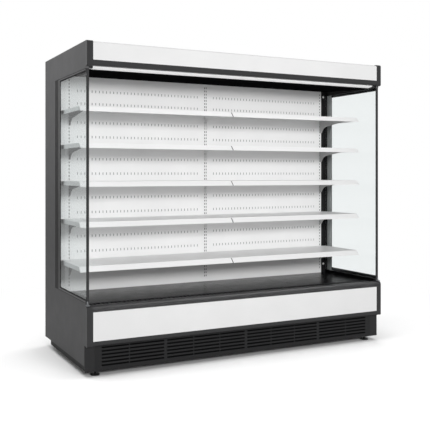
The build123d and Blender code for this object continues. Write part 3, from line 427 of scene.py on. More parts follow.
def white_powder_coated_steel(colours, sizes):
    """Back panels, uprights and shelves: white powder coat with a low, even sheen."""
    return baked_paint(
        "Steel_Sheet_White_Powder_Coated", colours.inner_white, 0.42, sizes.peel, 0.02 * MM
    )


def bracket_powder_coated_steel(colours, sizes):
    """Shelf brackets: powder coat on plate, white in the middle and pale grey at the right; the
    dark grey at the left end is painted shade.
    """
    material = baked_paint(
        "Steel_Plate_Grey_White_Powder_Coated_Shade_Left", colours.bracket_grey, 0.45, sizes.peel, 0.02 * MM
    )
    tree = material.node_tree
    off_middle = math_node(tree, "ABSOLUTE", along(tree, "Object", "X"))
    recolour(tree, compare(tree, off_middle, 0.5, above=False), colours.inner_white)
    # Painted shade: the brackets at the left end are darkened to the strip grey.
    left = compare(tree, along(tree, "Object", "X"), -0.5, above=False)
    recolour(tree, left, colours.strip_grey)
    return material


def shelf_powder_coated_steel(colours, sizes):
    """Shelves: white powder coat, and a ticket rail of slightly greyer PVC on the front."""
    material = baked_paint(
        "Steel_Sheet_White_Powder_Coated_PVC_Rail",
        colours.inner_white,
        0.42,
        sizes.peel,
        0.02 * MM,
    )
    tree = material.node_tree
    front = compare(tree, along(tree, "Normal", "Y"), -0.4, above=False)
    recolour(tree, front, colours.rail_white)
    return material


def gloss_painted_steel(colours, sizes):
    """Deck pans: charcoal gloss paint that mirrors the back wall softly."""
    return baked_paint(
        "Steel_Sheet_Charcoal_Gloss_Painted",
        colours.deck_charcoal,
        0.24,
        8 * MM,
        0.008 * MM,
        coat=0.0,
        specular=0.16,
    )


def black_powder_coated_steel(colours, sizes):
    """Kick plate, grille and base: near-black powder coat with a fine texture."""
    return baked_paint(
        "Steel_Sheet_Black_Powder_Coated", colours.grille_black, 0.5, 2 * MM, 0.03 * MM
    )


def black_matt_painted_steel(colours, sizes):
    """Canopy liner, air outlet and end skirting: black matt paint that swallows the light."""
    return baked_paint(
        "Steel_Sheet_Black_Matt_Painted",
        colours.outlet_black,
        0.75,
        sizes.peel,
        0.015 * MM,
        specular=0.0,
    )


def corner_filler_painted_steel(colours, sizes):
    """Corner fillers: matt paint, black at the right end as painted shade in that corner, and
    white at the left as the photo shows.
    """
    # The black base colour is painted shade in the corner at the right end.
    material = baked_paint(
        "Steel_Sheet_White_Matt_Painted_Shade_Black_Right",
        colours.grille_black,
        0.75,
        sizes.peel,
        0.015 * MM,
        specular=0.2,
    )
    tree = material.node_tree
    left = compare(tree, along(tree, "Object", "X"), 0.0, above=False)
    recolour(tree, left, colours.inner_white)
    return material


def coil_coated_back_steel(colours, sizes):
    """Back and roof: plain grey-white coil-coated sheet."""
    return baked_paint(
        "Steel_Sheet_Grey_White_Coil_Coated", colours.back_white, 0.5, 6 * MM, 0.015 * MM
    )


def black_enamelled_steel(colours, sizes):
    """Compressor casing and motors: thick black stoved enamel with a wet shine."""
    return baked_paint(
        "Steel_Casing_Black_Stove_Enamelled",
        colours.outlet_black,
        0.25,
        6 * MM,
        0.04 * MM,
        coat=0.4,
    )


def moulded_abs(name, colour, grain, roughness):
    """Injection-moulded plastic with an even spark-eroded grain."""
    material, tree, shader = new_material(name, {"Specular IOR Level": 0.5, "IOR": 1.54})
    place = object_place(tree)
    grains = add_node(
        tree, "ShaderNodeTexVoronoi", {"Vector": place, "Scale": 1 / grain}, feature="SMOOTH_F1"
    )
    links = {
        "Base Color": cloudy_colour(tree, place, colour, spread=0.03, cloud=120 * MM),
        "Roughness": varied_roughness(tree, place, roughness, spread=0.04, patch=50 * MM),
        "Normal": relief(tree, grains.outputs["Distance"], 0.03 * MM),
    }
    link_inputs(tree, shader, links)
    return material


def charcoal_moulded_abs(colours, sizes):
    """Plinth posts: near-black ABS, satin."""
    return moulded_abs("ABS_Charcoal_Moulded", colours.trim_black, sizes.grain, 0.42)


def black_moulded_polypropylene(colours, sizes):
    """Fan wheels, keys, feet and honeycomb: black polypropylene, slightly waxy."""
    return moulded_abs("Polypropylene_Black_Moulded", colours.outlet_black, sizes.grain, 0.45)


def woven_polyester(name, colour):
    """Woven or needled polyester, dull, with its threads crossing."""
    material, tree, shader = new_material(name, {"Base Color": colour, "Roughness": 0.9})
    place = object_place(tree)
    warp, weft = (
        add_node(
            tree,
            "ShaderNodeTexWave",
            {"Vector": place, "Scale": 250.0},
            bands_direction=direction,
        ).outputs["Fac"]
        for direction in ("X", "Z")
    )
    weave = math_node(tree, "MULTIPLY", warp, weft)
    tree.links.new(relief(tree, weave, 0.2 * MM), shader.inputs["Normal"])
    return material


def corner_cap_abs(colours, sizes):
    """Corner caps: charcoal ABS, painted grey on the outer end like the end panels; that lighter
    grey is partly painted light, the side light falling on that face.
    """
    material = moulded_abs(
        "ABS_Charcoal_Moulded_End_Painted_Grey_Side_Light", colours.charcoal, sizes.grain, 0.42
    )
    # Partly painted light: outward faces take the end panels' grey, lighter than the charcoal
    # fronts.
    recolour(material.node_tree, facing_out(material.node_tree), colours.side_grey)
    return material


def powder_coated_aluminium(colours, sizes):
    """Bumper, lip and canopy trim: extruded aluminium whose die lines run along x."""
    material, tree, shader = new_material(
        "Aluminium_Charcoal_Extruded_Powder_Coated",
        {"Specular IOR Level": 0.5, "Coat Weight": 0.15, "Coat Roughness": 0.2},
    )
    place = object_place(tree)
    drawn = add_node(
        tree, "ShaderNodeMapping", {"Vector": place, "Scale": (1.0, 180.0, 180.0)}
    ).outputs["Vector"]
    lines = add_node(tree, "ShaderNodeTexNoise", {"Vector": drawn, "Scale": 2.0, "Detail": 3.0})
    links = {
        "Base Color": cloudy_colour(tree, place, colours.charcoal, spread=0.03, cloud=200 * MM),
        "Roughness": varied_roughness(tree, drawn, 0.34, spread=0.05, patch=1.0),
        "Normal": relief(tree, lines.outputs["Fac"], 0.02 * MM),
    }
    link_inputs(tree, shader, links)
    return material


def extruded_pvc(colours, sizes):
    """Trim round the end glass: black PVC, dull, with a pale foam tape behind its rear stile."""
    material = moulded_abs(
        "PVC_Black_Extruded_Pale_Tape_Back", colours.trim_black, 2 * MM, 0.5
    )
    tree = material.node_tree
    stile = glass_opening()[1]
    inward = facing_out(tree, outward=False)
    behind_stile = compare(tree, along(tree, "Object", "Y"), stile)
    recolour(tree, math_node(tree, "MULTIPLY", inward, behind_stile), colours.front_white)
    return material


def cover_strip_pvc(colours, sizes):
    """Cover strips on the glass trim: mid-grey PVC with a soft shine along its rounded edges."""
    return moulded_abs("PVC_Mid_Grey_Extruded", colours.strip_grey, 2 * MM, 0.35)


def extruded_rubber(colours, sizes):
    """Glazing beads: black EPDM rubber, dull and slightly bloomed."""
    return moulded_abs("Rubber_EPDM_Black_Extruded", colours.outlet_black, 0.8 * MM, 0.75)


def opal_polycarbonate(colours, sizes):
    """Lamp cover: milky polycarbonate, lit from inside."""
    material, tree, shader = new_material(
        "Polycarbonate_Opal_Extruded",
        {
            "Roughness": 0.35,
            "Subsurface Weight": 0.1,
            "Subsurface Radius": (4 * MM, 4 * MM, 4 * MM),
            "Emission Color": colours.lamp_white,
            "Emission Strength": 0.3,
        },
    )
    place = object_place(tree)
    tree.links.new(
        cloudy_colour(tree, place, colours.lamp_white, spread=0.01, cloud=100 * MM),
        shader.inputs["Base Color"],
    )
    return material


def float_glass(colours, sizes):
    """End panes: clear toughened float glass, coated so that it mirrors little."""
    material, tree, shader = new_material("Glass_Float_Toughened_Clear", {})
    tree.nodes.remove(shader)
    slant = add_node(tree, "ShaderNodeLayerWeight", {"Blend": 0.5}).outputs["Facing"]
    grazing_share, straight_share = 0.4, 0.02
    steep = math_node(tree, "POWER", slant, 5.0)
    fresnel = math_node(tree, "MULTIPLY_ADD", steep, grazing_share, straight_share)
    leaving = add_node(tree, "ShaderNodeNewGeometry").outputs["Backfacing"]
    entering = math_node(tree, "SUBTRACT", 1.0, leaving)
    mirror_share = math_node(tree, "MULTIPLY", fresnel, entering)
    clear = add_node(tree, "ShaderNodeBsdfTransparent", {"Color": colours.glass_tint})
    mirror = add_node(tree, "ShaderNodeBsdfGlossy", {"Roughness": 0.0})
    pane = add_node(
        tree,
        "ShaderNodeMixShader",
        {0: mirror_share, 1: clear.outputs["BSDF"], 2: mirror.outputs["BSDF"]},
    )
    tree.links.new(pane.outputs["Shader"], tree.nodes["Material Output"].inputs["Surface"])
    return material


def galvanised_steel(colours, sizes):
    """Hidden sheet: hot-dip galvanised, with crystals that catch the light differently."""
    material, tree, shader = new_material("Steel_Sheet_Galvanised", {"Metallic": 1.0})
    place = object_place(tree)
    crystals = add_node(
        tree, "ShaderNodeTexVoronoi", {"Vector": place, "Scale": 1 / sizes.spangle}
    )
    shine = add_node(
        tree,
        "ShaderNodeMapRange",
        {"Value": crystals.outputs["Color"], "To Min": 0.34, "To Max": 0.55},
    )
    tree.links.new(shine.outputs["Result"], shader.inputs["Roughness"])
    tree.links.new(
        cloudy_colour(tree, place, colours.zinc, spread=0.08, cloud=sizes.spangle),
        shader.inputs["Base Color"],
    )
    return material


def rolled_aluminium(colours, sizes):
    """Coils: bright rolled fins, drawn as coarse lines so that they show."""
    material, tree, shader = new_material(
        "Aluminium_Fins_Rolled", {"Metallic": 1.0, "Roughness": 0.38}
    )
    place = object_place(tree)
    fins = add_node(
        tree,
        "ShaderNodeTexWave",
        {"Vector": place, "Scale": 60.0, "Distortion": 0.2},
        bands_direction="X",
    )
    links = {
        "Base Color": cloudy_colour(tree, place, colours.aluminium, spread=0.05, cloud=30 * MM),
        "Normal": relief(tree, fins.outputs["Fac"], 0.5 * MM),
    }
    link_inputs(tree, shader, links)
    return material


def drawn_copper(colours, sizes):
    """Pipes: drawn copper, dulled unevenly by handling."""
    material, tree, shader = new_material("Copper_Tube_Drawn", {"Metallic": 1.0})
    place = object_place(tree)
    links = {
        "Base Color": cloudy_colour(tree, place, colours.copper, spread=0.15, cloud=40 * MM),
        "Roughness": varied_roughness(tree, place, 0.35, spread=0.1, patch=25 * MM),
    }
    link_inputs(tree, shader, links)
    return material


def rigid_foam(colours, sizes):
    """Panel cores: rigid polyurethane foam, cut open it shows fine cells."""
    material, tree, shader = new_material("Foam_Polyurethane_Rigid", {"Roughness": 0.9})
    place = object_place(tree)
    cells = add_node(tree, "ShaderNodeTexVoronoi", {"Vector": place, "Scale": 1 / (2 * MM)})
    links = {
        "Base Color": cloudy_colour(tree, place, colours.foam, spread=0.08, cloud=60 * MM),
        "Normal": relief(tree, cells.outputs["Distance"], 0.5 * MM),
    }
    link_inputs(tree, shader, links)
    return material


NODE_FINISHES = (
    (grey_powder_coated_steel, ("end_panel_left", "end_panel_right")),
    (corner_cap_abs, ("corner_caps",)),
    (charcoal_moulded_abs, ("plinth_corner_posts",)),
    (
        powder_coated_aluminium,
        ("lower_front_frame", "bumper_rail", "canopy_trim", "glass_edge_profiles"),
    ),
    (extruded_pvc, ("glass_surrounds",)),
    (white_polyester_coated_steel, ("canopy_fascia", "lower_front_panel")),
    (coil_coated_back_steel, ("rear_wall_skin", "roof_skin", "tub_skins")),
    (black_powder_coated_steel, ("base_frame", "kick_plate", "return_air_grille", "deck_beams")),
    (black_matt_painted_steel, ("canopy_liner", "air_outlet_honeycomb")),
    (corner_filler_painted_steel, ("corner_fillers",)),
    (
        black_moulded_polypropylene,
        (
            "evaporator_fan_left",
            "evaporator_fan_right",
            "condenser_fan",
            "main_switch",
            "mode_key",
            "foot_front_left",
            "foot_front_right",
            "foot_rear_left",
            "foot_rear_right",
        ),
    ),
    (white_powder_coated_steel, ("shelf_uprights", "duct_panel_left", "duct_panel_right")),
    (shelf_powder_coated_steel, SHELVES),
    (bracket_powder_coated_steel, ("shelf_brackets",)),
    (gloss_painted_steel, ("deck_pan_left", "deck_pan_right")),
    (float_glass, ("end_glass_left", "end_glass_right")),
    (opal_polycarbonate, ("lamp_diffuser",)),
    (
        galvanised_steel,
        ("fasteners", "fan_plate", "condenser_fan_shroud", "drain_tray", "control_box"),
    ),
    (rolled_aluminium, ("evaporator", "condenser")),
    (black_enamelled_steel, ("compressor", "evaporator_fan_motors")),
    (drawn_copper, ("pipework",)),
    (rigid_foam, ("insulation_cores",)),
)


# ---- operators ----


class FRIDGE_OT_finish_cabinet(Operator):
    """Give every CAD piece of the fridge its finish"""

    bl_idname = "fridge.finish_cabinet"
    bl_label = "Finish the cabinet"

    def execute(self, context):
        scene = context.scene
        for finish, names in NODE_FINISHES:
            paint_node(names, finish(scene.fridge_colours, scene.fridge_sizes))
        return {"FINISHED"}


class FRIDGE_OT_fit_glazing_beads(Operator):
    """Fit the rubber beads between the end glass and its trim"""

    bl_idname = "fridge.fit_glazing_beads"
    bl_label = "Fit glazing beads"

    def execute(self, context):
        scene = context.scene
        sizes = scene.fridge_sizes
        rubber = extruded_rubber(scene.fridge_colours, sizes)
        width, height = sizes.gasket_width, sizes.gasket_height
        for side, sign in SIDES.items():
            pane_low, pane_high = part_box(f"end_glass_{side}")
            sill, stile, head = glass_opening()
            front = pane_low.y
            opening = frame_corners(front, stile, sill, head)
            inside = frame_corners(front, stile - height, sill + height, head - height)
            outer = pane_low.x if sign < 0 else pane_high.x
            profile = [
                (0.0, 0.0),
                (0.0, 1.0),
                (sign * width * 0.35, 0.95),
                (sign * width * 0.8, 0.6),
                (sign * width, 0.0),
            ]
            bead = sweep_between(f"glazing_bead_{side}", outer, opening, inside, profile)
            fit(bead, CABINET, rubber)
        return {"FINISHED"}


def glass_opening():
    """The daylight of the end glass: its sill's height, its stile's y and its head's height."""
    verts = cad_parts["glass_surrounds"].data.vertices
    pane_low, pane_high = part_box("end_glass_left")
    heights = [v.co.z for v in verts if pane_low.z + 1 * MM < v.co.z < pane_high.z - 1 * MM]
    places = [v.co.y for v in verts if pane_low.y + 1 * MM < v.co.y < pane_high.y - 1 * MM]
    return min(heights), min(places), max(heights)


class FRIDGE_OT_fit_cover_strips(Operator):
    """Clip the paler cover strips on the trim outside the end glass"""

    bl_idname = "fridge.fit_cover_strips"
    bl_label = "Fit cover strips"

    def execute(self, context):
        scene = context.scene
        strip_pvc = cover_strip_pvc(scene.fridge_colours, scene.fridge_sizes)
        trim_low, trim_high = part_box("glass_surrounds")
        case_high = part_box("end_panel_right")[1]
        sill, stile, head = glass_opening()
        margin, stile_margin, stile_width = 5 * MM, 10 * MM, 27 * MM
        outer_edge = frame_corners(
            trim_low.y,
            stile + stile_margin + stile_width,
            trim_low.z + margin,
            trim_high.z - margin,
        )
        inner_edge = frame_corners(
            trim_low.y, stile + stile_margin, sill - margin, head + margin
        )
        stands = case_high.x - trim_high.x
        strips = []
        for sign in SIDES.values():
            profile = [
                (0.0, 0.0),
                (sign * stands * 0.7, 0.04),
                (sign * stands, 0.2),
                (sign * stands, 0.8),
                (sign * stands * 0.7, 0.96),
                (0.0, 1.0),
            ]
            strips.append(
                sweep_between("strip", sign * trim_high.x, outer_edge, inner_edge, profile)
            )
        fit(merge_objects("trim_cover_strips", strips), CABINET, strip_pvc)
        return {"FINISHED"}


class FRIDGE_OT_fit_glass_clips(Operator):
    """Fit the small metal clips under the foot of each glass edge"""

    bl_idname = "fridge.fit_glass_clips"
    bl_label = "Fit glass clips"

    def execute(self, context):
        scene = context.scene
        metal = galvanised_steel(scene.fridge_colours, scene.fridge_sizes)
        metal.name = "Steel_Clip_Pressed_Zinc_Plated"
        panel_low, panel_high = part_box("end_panel_right")
        edge_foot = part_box("glass_edge_profiles")[0].z
        cap_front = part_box("bumper_rail")[0].y
        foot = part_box("bumper_rail")[1].z
        clips = []
        for sign in SIDES.values():
            across = sorted((sign * (panel_low.x + 2 * MM), sign * (panel_high.x - 1 * MM)))
            saddle = rounded_block(
                (across[0], cap_front + 8 * MM, foot + 0.3 * MM),
                (across[1], panel_low.y - 0.5 * MM, foot + 9 * MM),
                2.5 * MM,
            )
            middle = sum(across) / 2
            tongue = rounded_block(
                (middle - 5 * MM, panel_low.y - 6 * MM, foot + 4 * MM),
                (middle + 5 * MM, panel_low.y - 3.5 * MM, edge_foot + 12 * MM),
                1 * MM,
            )
            clips += [mesh_object("saddle", saddle), mesh_object("tongue", tongue)]
        fit(merge_objects("glass_foot_clips", clips), CABINET, metal)
        return {"FINISHED"}


class FRIDGE_OT_fit_hole_plugs(Operator):
    """Press the white plugs into the filling holes of the corner fillers"""

    bl_idname = "fridge.fit_hole_plugs"
    bl_label = "Fit hole plugs"

    def execute(self, context):
        scene = context.scene
        plastic = moulded_abs(
            "Polyethylene_White_Moulded", scene.fridge_colours.inner_white, 2 * MM, 0.4
        )
        filler_low, filler_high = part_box("corner_fillers")
        post_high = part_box("shelf_uprights")[1]
        middle = (post_high.x + filler_high.x) / 2
        places = [
            (sign * middle, filler_low.y, filler_high.z - drop)
            for sign in SIDES.values()
            for drop in (45 * MM, 780 * MM, 1500 * MM)
        ]
        outline = ((0.0, 3.2), (5.0, 3.0), (6.5, 2.2), (9.0, 1.4), (10.0, 0.0))
        plugs = [turned_cap("plug", place, outline) for place in places]
        fit(merge_objects("filling_hole_plugs", plugs), CABINET, plastic)
        return {"FINISHED"}


def turned_cap(name, place, outline, steps=24):
    """A round cap that stands out towards the front; outline holds (radius, height) in mm."""
    mesh = bmesh.new()
    x, y, z = place
    crown = mesh.verts.new((x, y - outline[0][1] * MM, z))
    rings = [
        [
            mesh.verts.new((
                x + radius * MM * math.cos(math.tau * step / steps),
                y - height * MM,
                z + radius * MM * math.sin(math.tau * step / steps),
            ))
            for step in range(steps)
        ]
        for radius, height in outline[1:]
    ]
    for step in range(steps):
        mesh.faces.new((crown, rings[0][step], rings[0][(step + 1) % steps]))
    for first, second in zip(rings, rings[1:]):
        for step in range(steps):
            following = (step + 1) % steps
            mesh.faces.new((first[step], second[step], second[following], first[following]))
    mesh.faces.new(rings[-1])
    bmesh.ops.recalc_face_normals(mesh, faces=mesh.faces)
    return mesh_object(name, mesh)


class FRIDGE_OT_fit_end_skirting(Operator):
    """Fit the black skirting between the deck and the end glass"""

    bl_idname = "fridge.fit_end_skirting"
    bl_label = "Fit end skirting"

    def execute(self, context):
        scene = context.scene
        paint = black_matt_painted_steel(scene.fridge_colours, scene.fridge_sizes)
        deck_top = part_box("deck_pan_left")[1].z
        glass_low, glass_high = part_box("end_glass_left")
        end_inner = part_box("canopy_liner")[1].x
        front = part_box("bumper_rail")[1].y
        sheet, turned = 1.2 * MM, 6 * MM
        strips = []
        for sign in SIDES.values():
            profile = [
                (0.0, 0.0),
                (turned, 0.0),
                (turned, sheet),
                (sheet, sheet),
                (sheet, glass_low.z - deck_top),
                (0.0, glass_low.z - deck_top),
            ]
            corners = [
                (sign * (end_inner - across), deck_top + up) for across, up in profile
            ]
            strips.append(extrude_along_y("skirting", corners, front, glass_high.y))
        fit(merge_objects("end_skirtings", strips), CABINET, paint)
        return {"FINISHED"}


def extrude_along_y(name, corners, front, rear):
    """A straight piece whose section is given by (x, z) corners."""
    mesh = bmesh.new()
    rings = [[mesh.verts.new((x, y, z)) for x, z in corners] for y in (front, rear)]
    close_rings(mesh, rings)
    return mesh_object(name, mesh)


class FRIDGE_OT_fit_duct_shade_sheets(Operator):
    """Lay felt sheets of painted shade behind the perforated back panels and the slotted uprights,
    where the air duct is dark
    """

    bl_idname = "fridge.fit_duct_linings"
    bl_label = "Fit duct shade sheets"

    def execute(self, context):
        scene = context.scene
        # Painted shade: grey felt behind the perforated panels and black felt behind the slots
        # stand in for the dark duct.
        felt = woven_polyester("Polyester_Felt_Grey_Painted_Shade", scene.fridge_colours.duct_shade_grey)
        slot_shade_felt = woven_polyester(
            "Polyester_Felt_Black_Painted_Shade", scene.fridge_colours.outlet_black
        )
        gap, edge = 1.6 * MM, 3 * MM
        for side in SIDES:
            low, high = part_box(f"duct_panel_{side}")
            lining = shade_sheet_tray(
                f"duct_lining_{side}",
                (low.x + edge, high.x - edge),
                low.y + gap,
                (low.z + edge, high.z - edge),
            )
            fit(lining, CABINET, felt)
        post_low, post_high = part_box("shelf_uprights")
        panel_low, panel_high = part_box("duct_panel_right")
        behind_slots = post_low.y + 10 * MM
        heights = (panel_low.z + edge, panel_high.z - edge)
        middle_half = panel_low.x - edge
        spans = [(-middle_half, middle_half)]
        for sign in SIDES.values():
            spans.append(sorted((sign * (panel_high.x + edge), sign * (post_high.x - edge))))
        shade_sheets = [shade_sheet_tray("lining", span, behind_slots, heights) for span in spans]
        fit(merge_objects("upright_linings", shade_sheets), CABINET, slot_shade_felt)
        return {"FINISHED"}


def shade_sheet_tray(name, span, front, heights, turned=6 * MM, sheet=1 * MM):
    """A sheet, turned back along both its sides, whose colour is painted shade."""
    profile = [
        (span[0], front + turned),
        (span[0], front),
        (span[1], front),
        (span[1], front + turned),
        (span[1] - sheet, front + turned),
        (span[1] - sheet, front + sheet),
        (span[0] + sheet, front + sheet),
        (span[0] + sheet, front + turned),
    ]
    return extrude_along_z(name, profile, *heights)


def extrude_along_z(name, corners, foot, head):
    """A straight piece whose section is given by (x, y) corners."""
    mesh = bmesh.new()
    rings = [[mesh.verts.new((x, y, z)) for x, y in corners] for z in (foot, head)]
    close_rings(mesh, rings)
    return mesh_object(name, mesh)


class FRIDGE_OT_fit_rail_end_clips(Operator):
    """Fit the dark end clips where the ticket rails of the two bays meet"""

    bl_idname = "fridge.fit_rail_end_clips"
    bl_label = "Fit rail end clips"

    def execute(self, context):
        scene = context.scene
        plastic = moulded_abs(
            "Polystyrene_Charcoal_Moulded", scene.fridge_colours.charcoal, 2 * MM, 0.5
        )
        width, stands = 5 * MM, 1.2 * MM
        for level in range(1, 6):
            name = f"shelf_left_{level}"
            low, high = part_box(name)
            (head_y, head_z), (foot_y, foot_z) = rail_face(name)
            profile = [
                (head_y, head_z),
                (foot_y, foot_z),
                (foot_y, low.z),
                (foot_y - stands, low.z),
                (foot_y - stands, foot_z),
                (head_y - stands, head_z),
            ]
            clip = extrude_along_x(f"rail_end_clip_{level}", profile, high.x - width, high.x)
            fit(clip, name, plastic)
        return {"FINISHED"}


def rail_face(name):
    """The top and the foot, as (y, z), of the sloping front face of a shelf's ticket rail."""
    places = [v.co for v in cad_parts[name].data.vertices]
    front = min(place.y for place in places)
    foot = max(place.z for place in places if place.y < front + 0.5 * MM)
    head = min((place for place in places if place.z > foot + 20 * MM), key=lambda place: place.y)
    return (head.y, head.z), (front, foot)


def extrude_along_x(name, corners, start, end):
    """A straight piece whose section is given by (y, z) corners."""
    mesh = bmesh.new()
    rings = [[mesh.verts.new((x, y, z)) for y, z in corners] for x in (start, end)]
    close_rings(mesh, rings)
    return mesh_object(name, mesh)


class FRIDGE_OT_fit_dust_filter(Operator):
    """Fit the pleated dust filter behind the kick plate's louvres"""

    bl_idname = "fridge.fit_dust_filter"
    bl_label = "Fit dust filter"

    def execute(self, context):
        scene = context.scene
        mat = woven_polyester(
            "Polyester_Filter_Black_Woven", scene.fridge_colours.outlet_black
        )
        low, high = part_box("kick_plate")
        pleat = scene.fridge_sizes.pleat
        flange, sheet = 1.5 * MM, 1.5 * MM
        front, depth = low.y + sheet, (high.y - low.y - sheet) / 2
        foot, head = low.z + flange, high.z - flange
        folds = 2 * round((head - foot) / pleat / 2)
        heights = [foot + (head - foot) * fold / folds for fold in range(folds + 1)]
        mesh = bmesh.new()
        edges = [
            [mesh.verts.new((x, front + depth * (fold % 2), z)) for fold, z in enumerate(heights)]
            for x in (low.x + flange, high.x - flange)
        ]
        for fold in range(folds):
            mesh.faces.new(
                (edges[0][fold], edges[1][fold], edges[1][fold + 1], edges[0][fold + 1])
            )
        bmesh.ops.solidify(mesh, geom=list(mesh.faces), thickness=0.8 * MM)
        fit(mesh_object("dust_filter", mesh), "kick_plate", mat)
        return {"FINISHED"}


class FRIDGE_OT_set_studio(Operator):
    """Set the floor, the lights, the background and the camera"""

    bl_idname = "fridge.set_studio"
    bl_label = "Set the studio"

    def execute(self, context):
        studio = context.scene.fridge_studio
        lay_floor(studio)
        light_world(context.scene, studio)
        hang_lights(studio)
        place_camera(context.scene)
        context.scene.view_settings.view_transform = "Standard"
        return {"FINISHED"}


def seen_share(tree):
    """One where a surface or the sky is seen, straight or in a clear mirror."""
    rays = add_node(tree, "ShaderNodeLightPath").outputs
    return math_node(tree, "MAXIMUM", rays["Is Camera Ray"], rays["Is Singular Ray"])


def footprint_distance(tree):
    """How far a place on the floor lies outside the fridge's footprint, in metres."""
    low, high = cad_bounds
    past_edges = []
    for axis, half in (("X", (high.x - low.x) / 2), ("Y", (high.y - low.y) / 2)):
        out = math_node(tree, "ABSOLUTE", along(tree, "Object", axis))
        past_edges.append(math_node(tree, "SUBTRACT", out, half))
    return math_node(tree, "MAXIMUM", *past_edges)


def lay_floor(studio):
    """A wide floor that keeps the fridge's shadow and melts into the background."""
    mesh = bmesh.new()
    bmesh.ops.create_grid(mesh, x_segments=8, y_segments=8, size=40.0)
    floor = mesh_object("studio_floor", mesh)
    material, tree, shader = new_material(
        "Paper_Backdrop_White_Matt", {"Specular IOR Level": 0.0, "Roughness": 0.9}
    )
    seen = seen_share(tree)
    paper = add_node(
        tree,
        "ShaderNodeMixRGB",
        {"Fac": seen, "Color1": studio.floor_bounce, "Color2": studio.floor_paper},
    )
    tree.links.new(paper.outputs["Color"], shader.inputs["Base Color"])
    place = object_place(tree)
    away = add_node(
        tree, "ShaderNodeVectorMath", {0: place, 1: (0.0, 0.0, 0.0)}, operation="DISTANCE"
    )
    glow = add_node(
        tree,
        "ShaderNodeMapRange",
        {"Value": away.outputs["Value"], "From Min": 1.6, "From Max": 3.4},
        interpolation_type="SMOOTHSTEP",
    )
    beside = add_node(
        tree,
        "ShaderNodeMapRange",
        {"Value": footprint_distance(tree), "From Min": 0.03, "From Max": 0.45, "To Max": 0.35},
        interpolation_type="SMOOTHSTEP",
    )
    bright = math_node(tree, "MAXIMUM", glow.outputs["Result"], beside.outputs["Result"])
    share = math_node(tree, "MULTIPLY", bright, seen)
    white = add_node(tree, "ShaderNodeEmission", {"Color": studio.backdrop, "Strength": 1.0})
    mixed = add_node(
        tree,
        "ShaderNodeMixShader",
        {0: share, 1: shader.outputs["BSDF"], 2: white.outputs["Emission"]},
    )
    tree.links.new(mixed.outputs["Shader"], tree.nodes["Material Output"].inputs["Surface"])
    floor.data.materials.append(material)


def light_world(scene, studio):
    """White where the sky is seen, and a plain dimmer light everywhere else."""
    world = bpy.data.worlds.new("Studio")
    scene.world = world
    world.use_nodes = True
    tree = world.node_tree
    tree.nodes.clear()
    soft = add_node(
        tree,
        "ShaderNodeBackground",
        {"Color": studio.backdrop, "Strength": studio.ambient},
    )
    seen = add_node(tree, "ShaderNodeBackground", {"Color": studio.backdrop, "Strength": 1.0})
    mixed = add_node(
        tree,
        "ShaderNodeMixShader",
        {0: seen_share(tree), 1: soft.outputs["Background"], 2: seen.outputs["Background"]},
    )
    add_node(tree, "ShaderNodeOutputWorld", {"Surface": mixed.outputs["Shader"]})


def hang_light(name, power, size, place, target):
    """A rectangular softbox that points at a place on the fridge."""
    data = bpy.data.lights.new(name, "AREA")
    data.shape = "RECTANGLE"
    data.size, data.size_y = size
    data.energy = power
    light = bpy.data.objects.new(name, data)
    bpy.context.scene.collection.objects.link(light)
    light.location = place
    light.rotation_euler = (Vector(target) - Vector(place)).to_track_quat("-Z", "Y").to_euler()
    light.visible_glossy = False
    light.visible_camera = False
    return light


def hang_lights(studio):
    """Softboxes in front, at the left, over the floor and for the bumper, and the lamp."""
    low, high = cad_bounds
    middle = (low + high) / 2
    hang_light(
        "fill_softbox",
        studio.fill_power,
        (5.0, 2.6),
        (middle.x - 0.5, low.y - 6.5, 1.5),
        (middle.x, low.y, 1.1),
    )
    hang_light(
        "key_strip",
        studio.key_power,
        (2.5, 0.9),
        (middle.x, low.y - 5.7, 2.42),
        (middle.x, middle.y, 1.3),
    )
    hang_light(
        "left_softbox",
        studio.side_power,
        (1.6, 1.2),
        (low.x - 1.3, middle.y + 0.1, high.z + 0.6),
        (low.x, middle.y + 0.1, high.z - 0.6),
    )
    lamp_low, lamp_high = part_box("lamp_diffuser")
    hang_light(
        "lamp_glow",
        studio.lamp_power,
        (lamp_high.x - lamp_low.x, 20 * MM),
        (middle.x, lamp_high.y + 5 * MM, lamp_low.z - 4 * MM),
        (middle.x, lamp_high.y + 0.5, lamp_low.z - 0.6),
    )
    over_floor = hang_light(
        "floor_softbox",
        studio.floor_power,
        (6.0, 5.0),
        (middle.x, middle.y, 5.5),
        (middle.x, middle.y, 0.0),
    )
    over_floor.light_linking.receiver_collection = light_takers("floor", ["studio_floor"])
    highlight = hang_light(
        "gloss_softbox",
        studio.gloss_power,
        (6.0, 1.6),
        (middle.x + 2.4, low.y - 1.4, 5.0),
        (middle.x, low.y, 0.45),
    )
    highlight.visible_glossy = True
    highlight.visible_diffuse = False
    highlight.light_linking.receiver_collection = light_takers("gloss", ["bumper_rail"])


def light_takers(name, pieces):
    """The collection of pieces that a softbox is allowed to light."""
    takers = bpy.data.collections.new(f"{name}_light_takers")
    for piece in pieces:
        takers.objects.link(bpy.data.objects[piece])
    return takers


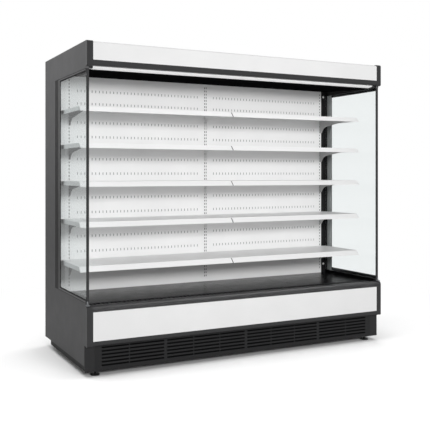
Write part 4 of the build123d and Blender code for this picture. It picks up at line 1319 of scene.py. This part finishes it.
def place_camera(scene):
    """The photograph's view: level, from the left of the front, with a high horizon."""
    data = bpy.data.cameras.new("Photograph_View")
    data.sensor_width = 36.0
    data.lens = 60.86
    data.shift_y = -0.096
    data.clip_end = 200.0
    camera = bpy.data.objects.new("Photograph_View", data)
    scene.collection.objects.link(camera)
    camera.location = (-2.609, -5.035, 1.321)
    camera.rotation_euler = (math.radians(90), 0.0, math.radians(-27.35))
    scene.camera = camera


class FRIDGE_PT_panel(Panel):
    """Sizes and colours of the fridge, and the steps that make it"""

    bl_label = "Display fridge"
    bl_idname = "FRIDGE_PT_panel"
    bl_space_type = "VIEW_3D"
    bl_region_type = "UI"
    bl_category = "Fridge"

    def draw(self, context):
        layout = self.layout
        for settings in (
            context.scene.fridge_colours,
            context.scene.fridge_sizes,
            context.scene.fridge_studio,
        ):
            box = layout.box()
            for name in settings.__annotations__:
                box.prop(settings, name)
        for operator in OPERATORS:
            layout.operator(operator.bl_idname)


OPERATORS = (
    FRIDGE_OT_finish_cabinet,
    FRIDGE_OT_fit_glazing_beads,
    FRIDGE_OT_fit_cover_strips,
    FRIDGE_OT_fit_glass_clips,
    FRIDGE_OT_fit_hole_plugs,
    FRIDGE_OT_fit_end_skirting,
    FRIDGE_OT_fit_duct_shade_sheets,
    FRIDGE_OT_fit_rail_end_clips,
    FRIDGE_OT_fit_dust_filter,
    FRIDGE_OT_set_studio,
)
SETTINGS = {
    "fridge_colours": FridgeColours,
    "fridge_sizes": FridgeSizes,
    "fridge_studio": FridgeStudio,
}


def register():
    for group in (*SETTINGS.values(), *OPERATORS, FRIDGE_PT_panel):
        bpy.utils.register_class(group)
    for name, group in SETTINGS.items():
        setattr(bpy.types.Scene, name, PointerProperty(type=group))


def unregister():
    for name in SETTINGS:
        delattr(bpy.types.Scene, name)
    for group in reversed((*SETTINGS.values(), *OPERATORS, FRIDGE_PT_panel)):
        bpy.utils.unregister_class(group)


def main():
    """Run every step in order."""
    register()
    for operator in OPERATORS:
        area, step = operator.bl_idname.split(".")
        getattr(getattr(bpy.ops, area), step)()


if __name__ == "__main__":
    main()
